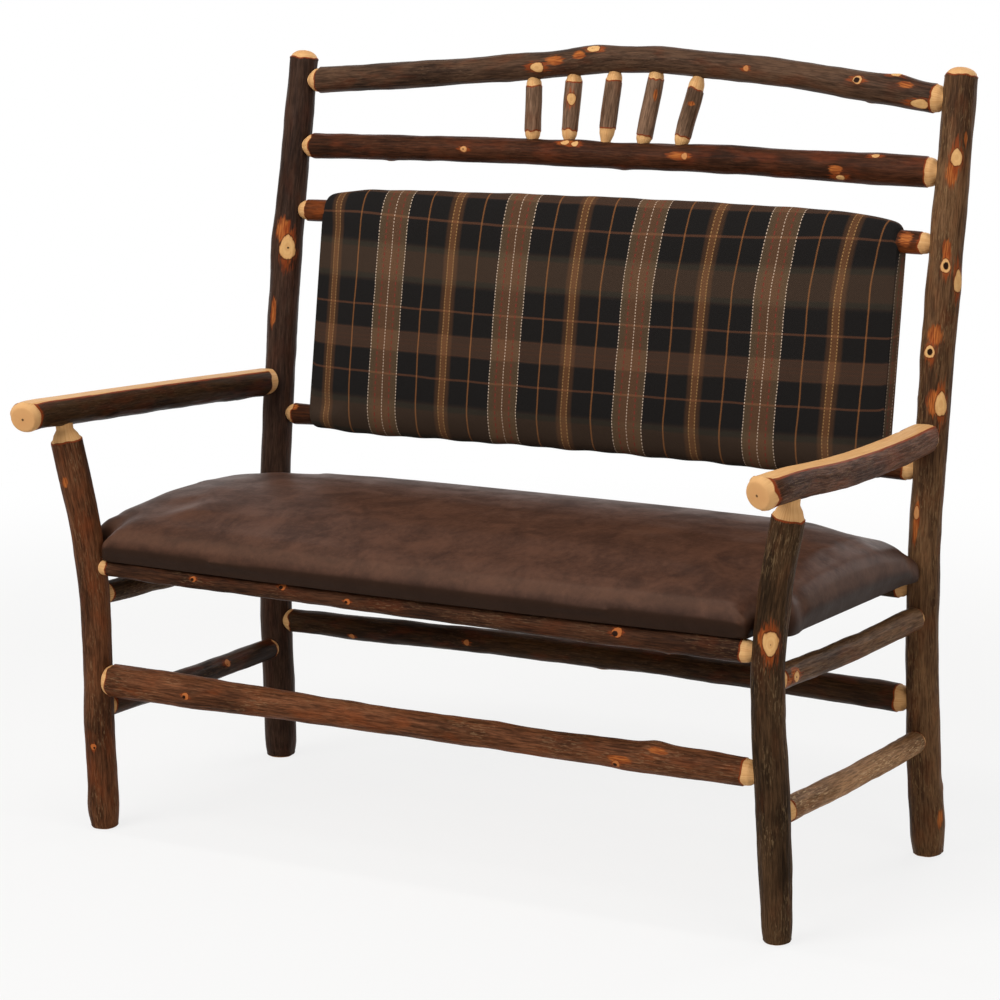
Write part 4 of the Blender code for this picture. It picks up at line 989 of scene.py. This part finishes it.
def solid(name):  # a CAD node to aim at
    mesh = nodes[name].data
    return BVHTree.FromPolygons([v.co for v in mesh.vertices], [p.vertices[:] for p in mesh.polygons])


co = numbers(mesh, "co")
under = co[:, 2] < base + 0.005
low = co[:, 2] < boardHigh[2]
relax(mesh, 36, low, seat["keep"])
# near the posts and legs the cover is tucked in, so it swells less there
co = numbers(mesh, "co")
cap = seat["cap"] * (0.25 + 0.75 * smooth(0.026, 0.070, toPost(co)))
cap *= smooth(boardLow[2], boardHigh[2] + 0.020, co[:, 2])
inflate(cushion, seat["pressure"], cap, under)
# smoothed over where the hide is pulled down around a leg or post
co = numbers(mesh, "co")
stiff = np.maximum(smooth(0.06, 0.15, toPost(co)), 1 - smooth(0.024, 0.034, toPost(co)))
stiff = np.maximum(stiff, 1 - smooth(-0.258, -0.240, co[:, 1]))
relax(mesh, 30, np.maximum(stiff, low))
# smoothing has eaten into the roll, so along the front and the ends it is drawn out again to the CAD cover
co = numbers(mesh, "co")
cover = solid("seat_cover")
fade = 1 - smooth(*roll["top"], co[:, 2])
front = fade * (1 - smooth(*roll["frontTo"], abs(co[:, 0]))) * (co[:, 1] < -0.15)
ends = fade * smooth(*roll["endsFrom"], co[:, 1]) * (1 - smooth(*roll["endsTo"], co[:, 1]))
ends *= abs(co[:, 0]) > 0.45
for share, axis in ((front, 1), (ends, 0)):
    for i in np.flatnonzero(share > 0.01):
        side = 1.0 if co[i, axis] > 0 else -1.0
        start, way = Vector(co[i]), Vector((0, 0, 0))
        start[axis], way[axis] = side, -side
        hit = cover.ray_cast(start, way)[0]
        if hit and abs(hit[axis] - co[i, axis]) < roll["reach"]:
            co[i, axis] += share[i] * (hit[axis] - co[i, axis])
moveTo(mesh, co)
relax(mesh, 10, under, seat["keep"])
mesh = subdivided(cushion)
# and it stays outside the board's edge
co = numbers(mesh, "co")
steep = np.linalg.norm(numbers(mesh, "normal")[:, :2], axis=1)
board = solid("seat_board")
for i in np.flatnonzero((steep > 0.15) & (co[:, 2] < boardHigh[2] + 0.003)):
    level = (co[i, 0], co[i, 1], min(max(co[i, 2], boardLow[2] + 0.003), boardHigh[2] - 0.003))
    spot, facing, _, _ = board.find_nearest(level)
    short = seat["offBoard"] - (Vector(level) - spot).dot(facing)
    if short > 0 and abs(facing.z) < 0.5:
        co[i] += short * np.array(facing)
moveTo(mesh, co)
relax(mesh, 6, (steep < 0.15) | (co[:, 2] > boardHigh[2] + 0.012) | (co[:, 2] < base + 0.002), seat["keep"])
# how far each point faces up, with sideways faces at the ends counted partly as up; it sets the painted
# shade and the painted highlight on the hide
normals = numbers(mesh, "normal")
write(mesh, "lightFacing", normals[:, 2] + 0.35 * np.abs(normals[:, 0]))

# Brown hide, tanned and waxed: cloudy tone, fine pebble, painted shade on the front roll and lower sides,
# and a painted highlight along the shoulder
hide, t = newMaterial("waxedBrownHide")
mm = inMm(t)
clouds = put(t, "noise", {"Vector": mm, "Scale": 1 / 55, "Detail": 4.0, "Roughness": 0.6, "Distortion": 0.5})
specks = put(t, "noise", {"Vector": mm, "Scale": 1 / 9, "Detail": 3.0, "Roughness": 0.65})
# a pebble of 1.2 mm, drawn coarser
pebble = put(t, "ShaderNodeTexVoronoi", {"Vector": mm, "Scale": 1 / 3.2}, feature='SMOOTH_F1')
tone = put(t, "multiply_add", [specks, 0.35, clouds])
colour = blend(t, "#37231a", "#543729", tone, 0.42, 0.92)
colour = blend(t, colour, "#5f402f", specks, 0.58, 0.78, 0.18)
lightFacing = put(t, "attribute", attribute_name="lightFacing").outputs["Fac"]
# painted shade: darker where the hide faces forward, sideways or down, on the front roll and the sides
colour = blend(t, colour, "#291b13", lightFacing, 0.74, 0.06, 0.92)
# painted highlight: a paler band along the shoulder, between the front roll and the top
shoulderHighlight = put(t, "multiply", [put(t, "range", [lightFacing, 0.40, 0.72, 0.0, 1.0]),
                          put(t, "range", [lightFacing, 0.76, 0.95, 0.28, 0.0])])
height = put(t, "multiply_add", [specks, 0.6, pebble])
feed(t, t.nodes["Principled BSDF"], {
    "Base Color": put(t, "mix", [shoulderHighlight, colour, "#634b3e"]),
    "Roughness": put(t, "range", [tone, 0.45, 0.9, 0.46, 0.36]),
    "Normal": put(t, "bump", {"Strength": 0.16, "Distance": 0.0008, "Height": height}),
    "IOR": 1.5, "Specular IOR Level": 0.04})
mesh.materials.clear()
mesh.materials.append(hide)
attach(cushion, "root")
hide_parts("seat_cover", "seat_padding")
print("padded seat:", len(mesh.polygons), "faces")

# Birch plywood, rotary-cut and sanded: a pale face with broad wavy figure and fine short pores
plywood, t = newMaterial("birchPlywood")
mm = inMm(t)
mmX, mmY, mmZ = put(t, "separate", [mm]).outputs
figure = grainNoise(t, put(t, "combine", [mmY, mmZ, mmX]), 46, 420, 3.0, 0.5, 0.6)
growth = put(t, "sine", [put(t, "multiply", [figure, 52.0])])
pores = grainNoise(t, put(t, "vector multiply", [mm, (1 / 30, 1.0, 1.0)]), 0.9, 0.9, 2.0)
colour = blend(t, "#cdaa78", "#bb935f", growth, -1.0, 1.0)
feed(t, t.nodes["Principled BSDF"], {
    "Base Color": blend(t, colour, "#8d6a42", pores, 0.60, 0.74, 0.45),
    "Roughness": put(t, "range", [pores, 0.3, 0.7, 0.52, 0.66]),
    "Normal": put(t, "bump", {"Strength": 0.2, "Distance": 0.0003, "Height": pores}),
    "IOR": 1.5, "Specular IOR Level": 0.2})
for name in ("seat_board", "back_board"):
    nodes[name].data.materials.clear()
    nodes[name].data.materials.append(plywood)

# Zinc-plated steel, screws and staple wire: a grey-white metal shine, cloudy where the plating is thin
zinc, t = newMaterial("zincPlatedSteel")
cloud = put(t, "noise", {"Vector": inMm(t), "Scale": 1 / 2.4, "Detail": 3.0})
feed(t, t.nodes["Principled BSDF"], {
    "Base Color": blend(t, "#a9adb1", "#c9ccce", cloud, 0.3, 0.7),
    "Roughness": put(t, "range", [cloud, 0.3, 0.7, 0.42, 0.28]), "Metallic": 1.0})

# The tree that makes the screws: head with a cross recess, shank, thread and point, one at each place
screwTree, given = newTree("seatScrews", screws)
t = screwTree
headRadius = put(t, "multiply", [given["Head"], 0.5])
shankRadius = put(t, "multiply", [given["Shank"], 0.5])
straight = put(t, "subtract", [given["Length"], given["Countersink"]])
straight = put(t, "subtract", [straight, given["Point"]])
up = put(t, "combine", {"Z": given["Countersink"]})
tipUp = put(t, "combine", {"Z": put(t, "subtract", [given["Length"], given["Point"]])})
head = put(t, "cone", {
    "Vertices": 24, "Radius Top": shankRadius, "Radius Bottom": headRadius, "Depth": given["Countersink"]})
recess = put(t, "GeometryNodeMeshCube", {"Size": given["Recess"]})
crossed = put(t, "transform", {"Geometry": recess, "Rotation": (0, 0, math.pi / 2)})
cuts = put(t, "boolean", operation='UNION')
for bar in (recess, crossed):
    t.links.new(bar.outputs[0], cuts.inputs[1])
head = put(t, "boolean", {0: head, 1: cuts}, operation='DIFFERENCE')
shank = put(t, "cone", {
    "Vertices": 16, "Radius Top": shankRadius, "Radius Bottom": shankRadius, "Depth": straight})
shank = put(t, "transform", {"Geometry": shank, "Translation": up})
tip = put(t, "cone", {
    "Vertices": 16, "Radius Top": 0.0003, "Radius Bottom": shankRadius, "Depth": given["Point"]})
tip = put(t, "transform", {"Geometry": tip, "Translation": tipUp})
helix = put(t, "GeometryNodeCurveSpiral", {
    "Resolution": 14, "Rotations": put(t, "divide", [straight, given["Pitch"]]), "Start Radius": shankRadius,
    "End Radius": shankRadius, "Height": straight})
ridge = put(t, "circle", {"Resolution": 4, "Radius": given["Ridge"]})
thread = put(t, "sweep", {"Curve": helix, "Profile Curve": ridge, "Fill Caps": True})
thread = put(t, "transform", {"Geometry": thread, "Translation": up})
screw = put(t, "GeometryNodeJoinGeometry")
for part in (head, shank, tip, thread):
    t.links.new(part.outputs[0], screw.inputs[0])
endTree(t, put(t, "GeometryNodeInstanceOnPoints", {"Points": given["Geometry"], "Instance": screw}), given)
spots = bpy.data.meshes.new("screwSpots")
spots.from_pydata(list(screwFeet.values()), [], [])
fixings = realise("seatScrews", spots, screwTree, {**screws, "Material": zinc})
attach(fixings, "root")
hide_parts(*screwBoxes)
print("screws:", len(screwBoxes), "of", len(fixings.data.polygons), "faces in all")

# Staples: hold the turned-under hide to the board, in a row round the seat's underside
staples = {"Spacing": 0.031, "Crown": 0.0104, "Wire": 0.0006, "Leg": 0.0022, "Askew": 0.22, "Seed": 4}
hem = dict(inset=0.047, corner=0.030, cornerSteps=6)
coverLow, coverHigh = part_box("seat_cover")
run = []
for turn, (sx, sy) in enumerate(((1, 1), (-1, 1), (-1, -1), (1, -1))):
    inward = hem["inset"] + hem["corner"]
    cornerX = (coverHigh[0] if sx > 0 else coverLow[0]) - sx * inward
    cornerY = (coverHigh[1] if sy > 0 else coverLow[1]) - sy * inward
    for k in range(hem["cornerSteps"] + 1):
        angle = math.pi / 2 * (turn + k / hem["cornerSteps"])
        run.append((cornerX + hem["corner"] * math.cos(angle), cornerY + hem["corner"] * math.sin(angle),
                    base - staples["Wire"] * 0.5))
stapleRun = bpy.data.meshes.new("stapleRun")
stapleRun.from_pydata(run, [(i, (i + 1) % len(run)) for i in range(len(run))], [])
stapleTree, given = newTree("stapleRow", staples)
t = stapleTree
row = put(t, "GeometryNodeMeshToCurve", {0: given["Geometry"]})
row = put(t, "GeometryNodeResampleCurve", {"Curve": row, "Length": given["Spacing"]}, mode='LENGTH')
halfCrown = put(t, "multiply", [given["Crown"], 0.5])
wire = put(t, "GeometryNodeCurvePrimitiveLine", {
    "Start": put(t, "combine", {"X": put(t, "multiply", [halfCrown, -1.0])}),
    "End": put(t, "combine", {"X": halfCrown})})
wire = put(t, "GeometryNodeResampleCurve", {"Curve": wire, "Count": 9}, mode='COUNT')
off = put(t, "absolute", [put(t, "separate", [put(t, "GeometryNodeInputPosition")]).outputs["X"]])
bent = put(t, "range", [put(t, "divide", [off, halfCrown]), 0.78, 1.0, 0.0, given["Leg"]])
wire = put(t, "place", {"Geometry": wire, "Offset": put(t, "combine", {"Z": bent})})
gauge = put(t, "circle", {"Resolution": 4, "Radius": given["Wire"]})
wire = put(t, "sweep", {"Curve": wire, "Profile Curve": gauge, "Fill Caps": True})
least = put(t, "multiply", [given["Askew"], -1.0])
spin = put(t, "FunctionNodeRandomValue", {
    2: least, 3: given["Askew"], "Seed": given["Seed"]}, data_type='FLOAT')
spin = put(t, "FunctionNodeEulerToRotation", [put(t, "combine", {"Z": spin})])
tangent = put(t, "GeometryNodeInputTangent")
aligned = put(t, "FunctionNodeAlignRotationToVector", {"Vector": tangent}, axis='X')
aligned = put(t, "FunctionNodeRotateRotation", {"Rotation": aligned, "Rotate By": spin})
row = put(t, "GeometryNodeInstanceOnPoints", {"Points": row, "Instance": wire, "Rotation": aligned})
endTree(t, row, given)
stapleRow = realise("hemStaples", stapleRun, stapleTree, {**staples, "Material": zinc})
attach(stapleRow, "root")
print("staples:", len(stapleRow.data.polygons), "faces")

# Camera: the photograph's place and angle
eye = Vector((2.30361, -3.95622, 1.3256))
yaw, pitch = math.radians(-30.24), math.radians(-10.20)
ahead = Vector((math.sin(yaw) * math.cos(pitch), math.cos(yaw) * math.cos(pitch), math.sin(pitch)))
right = Vector((math.cos(yaw), -math.sin(yaw), 0))
lens = bpy.data.cameras.new("photoCamera")
lens.sensor_width = 36
lens.lens = 118.1
camera = added("photoCamera", lens)
turn = Matrix((right, right.cross(ahead), -ahead)).transposed().to_4x4()
camera.matrix_world = Matrix.Translation(eye) @ turn
bpy.context.scene.camera = camera

# Studio: a pale floor that shows white to the camera and keeps the shadow, soft light all round
studio = dict(floor=60.0, drop=0.0005, whiteness=0.80, fadeFrom=1.4, fadeTo=3.2, world=0.35)
lamps = {  # place, target, size, power
    "overheadLight": ((0.0, -0.5, 3.6), (0, -0.2, 0.5), (2.4, 0.25), 30.0),
    "keyLight": ((-1.0, -3.4, 3.2), (0, 0, 0.5), (2.8, 2.8), 130.0),
    "fillLight": ((3.6, -2.2, 2.2), (0, 0, 0.5), (2.0, 2.0), 38.0),
    "backLight": ((0.8, 3.6, 2.4), (0, 0, 0.6), (2.8, 2.8), 60.0)}


def seenRays(tree):  # 1 for what the camera sees, straight, in a shine or through a pane
    rays = put(tree, "ShaderNodeLightPath").outputs
    seen = put(tree, "maximum", [rays["Is Camera Ray"], rays["Is Glossy Ray"]])
    return put(tree, "maximum", [seen, rays["Is Transmission Ray"]])


half = studio["floor"] / 2
floorMesh = bpy.data.meshes.new("studioFloor")
corners = [(x * half, y * half, -studio["drop"]) for x, y in ((-1, -1), (1, -1), (1, 1), (-1, 1))]
floorMesh.from_pydata(corners, [], [(0, 1, 2, 3)])
floor = added("studioFloor", floorMesh)
paper, t = newMaterial("studioPaper")  # matt white paper roll: no shine, a soft shadow
matt = t.nodes["Principled BSDF"]
feed(t, matt, {"Base Color": "#d8d6d2", "Roughness": 0.9, "Specular IOR Level": 0.1})
away = put(t, "vector length", [put(t, "ShaderNodeTexCoord").outputs["Object"]]).outputs["Value"]
white = put(t, "range", [away, studio["fadeFrom"], studio["fadeTo"], studio["whiteness"], 1.0])
glow = put(t, "ShaderNodeEmission", {"Strength": 1.0})
mixed = put(t, "ShaderNodeMixShader", {0: put(t, "multiply", [seenRays(t), white]), 1: matt, 2: glow})
feed(t, t.nodes["Material Output"], {"Surface": mixed})
floorMesh.materials.append(paper)
world = bpy.data.worlds.new("studioWorld")
bpy.context.scene.world = world
world.use_nodes = True
t = world.node_tree
strength = put(t, "range", [seenRays(t), 0.0, 1.0, studio["world"], 1.0])
feed(t, t.nodes["Background"], {"Strength": strength, "Color": (1, 1, 1, 1)})
for name, (place, target, size, power) in lamps.items():
    lamp = bpy.data.lights.new(name, 'AREA')
    lamp.energy = power
    lamp.shape = 'RECTANGLE'
    lamp.size, lamp.size_y = size
    light = added(name, lamp)
    light.location = place
    light.rotation_euler = (Vector(target) - Vector(place)).to_track_quat('-Z', 'Y').to_euler()
bpy.context.scene.view_settings.view_transform = 'Standard'
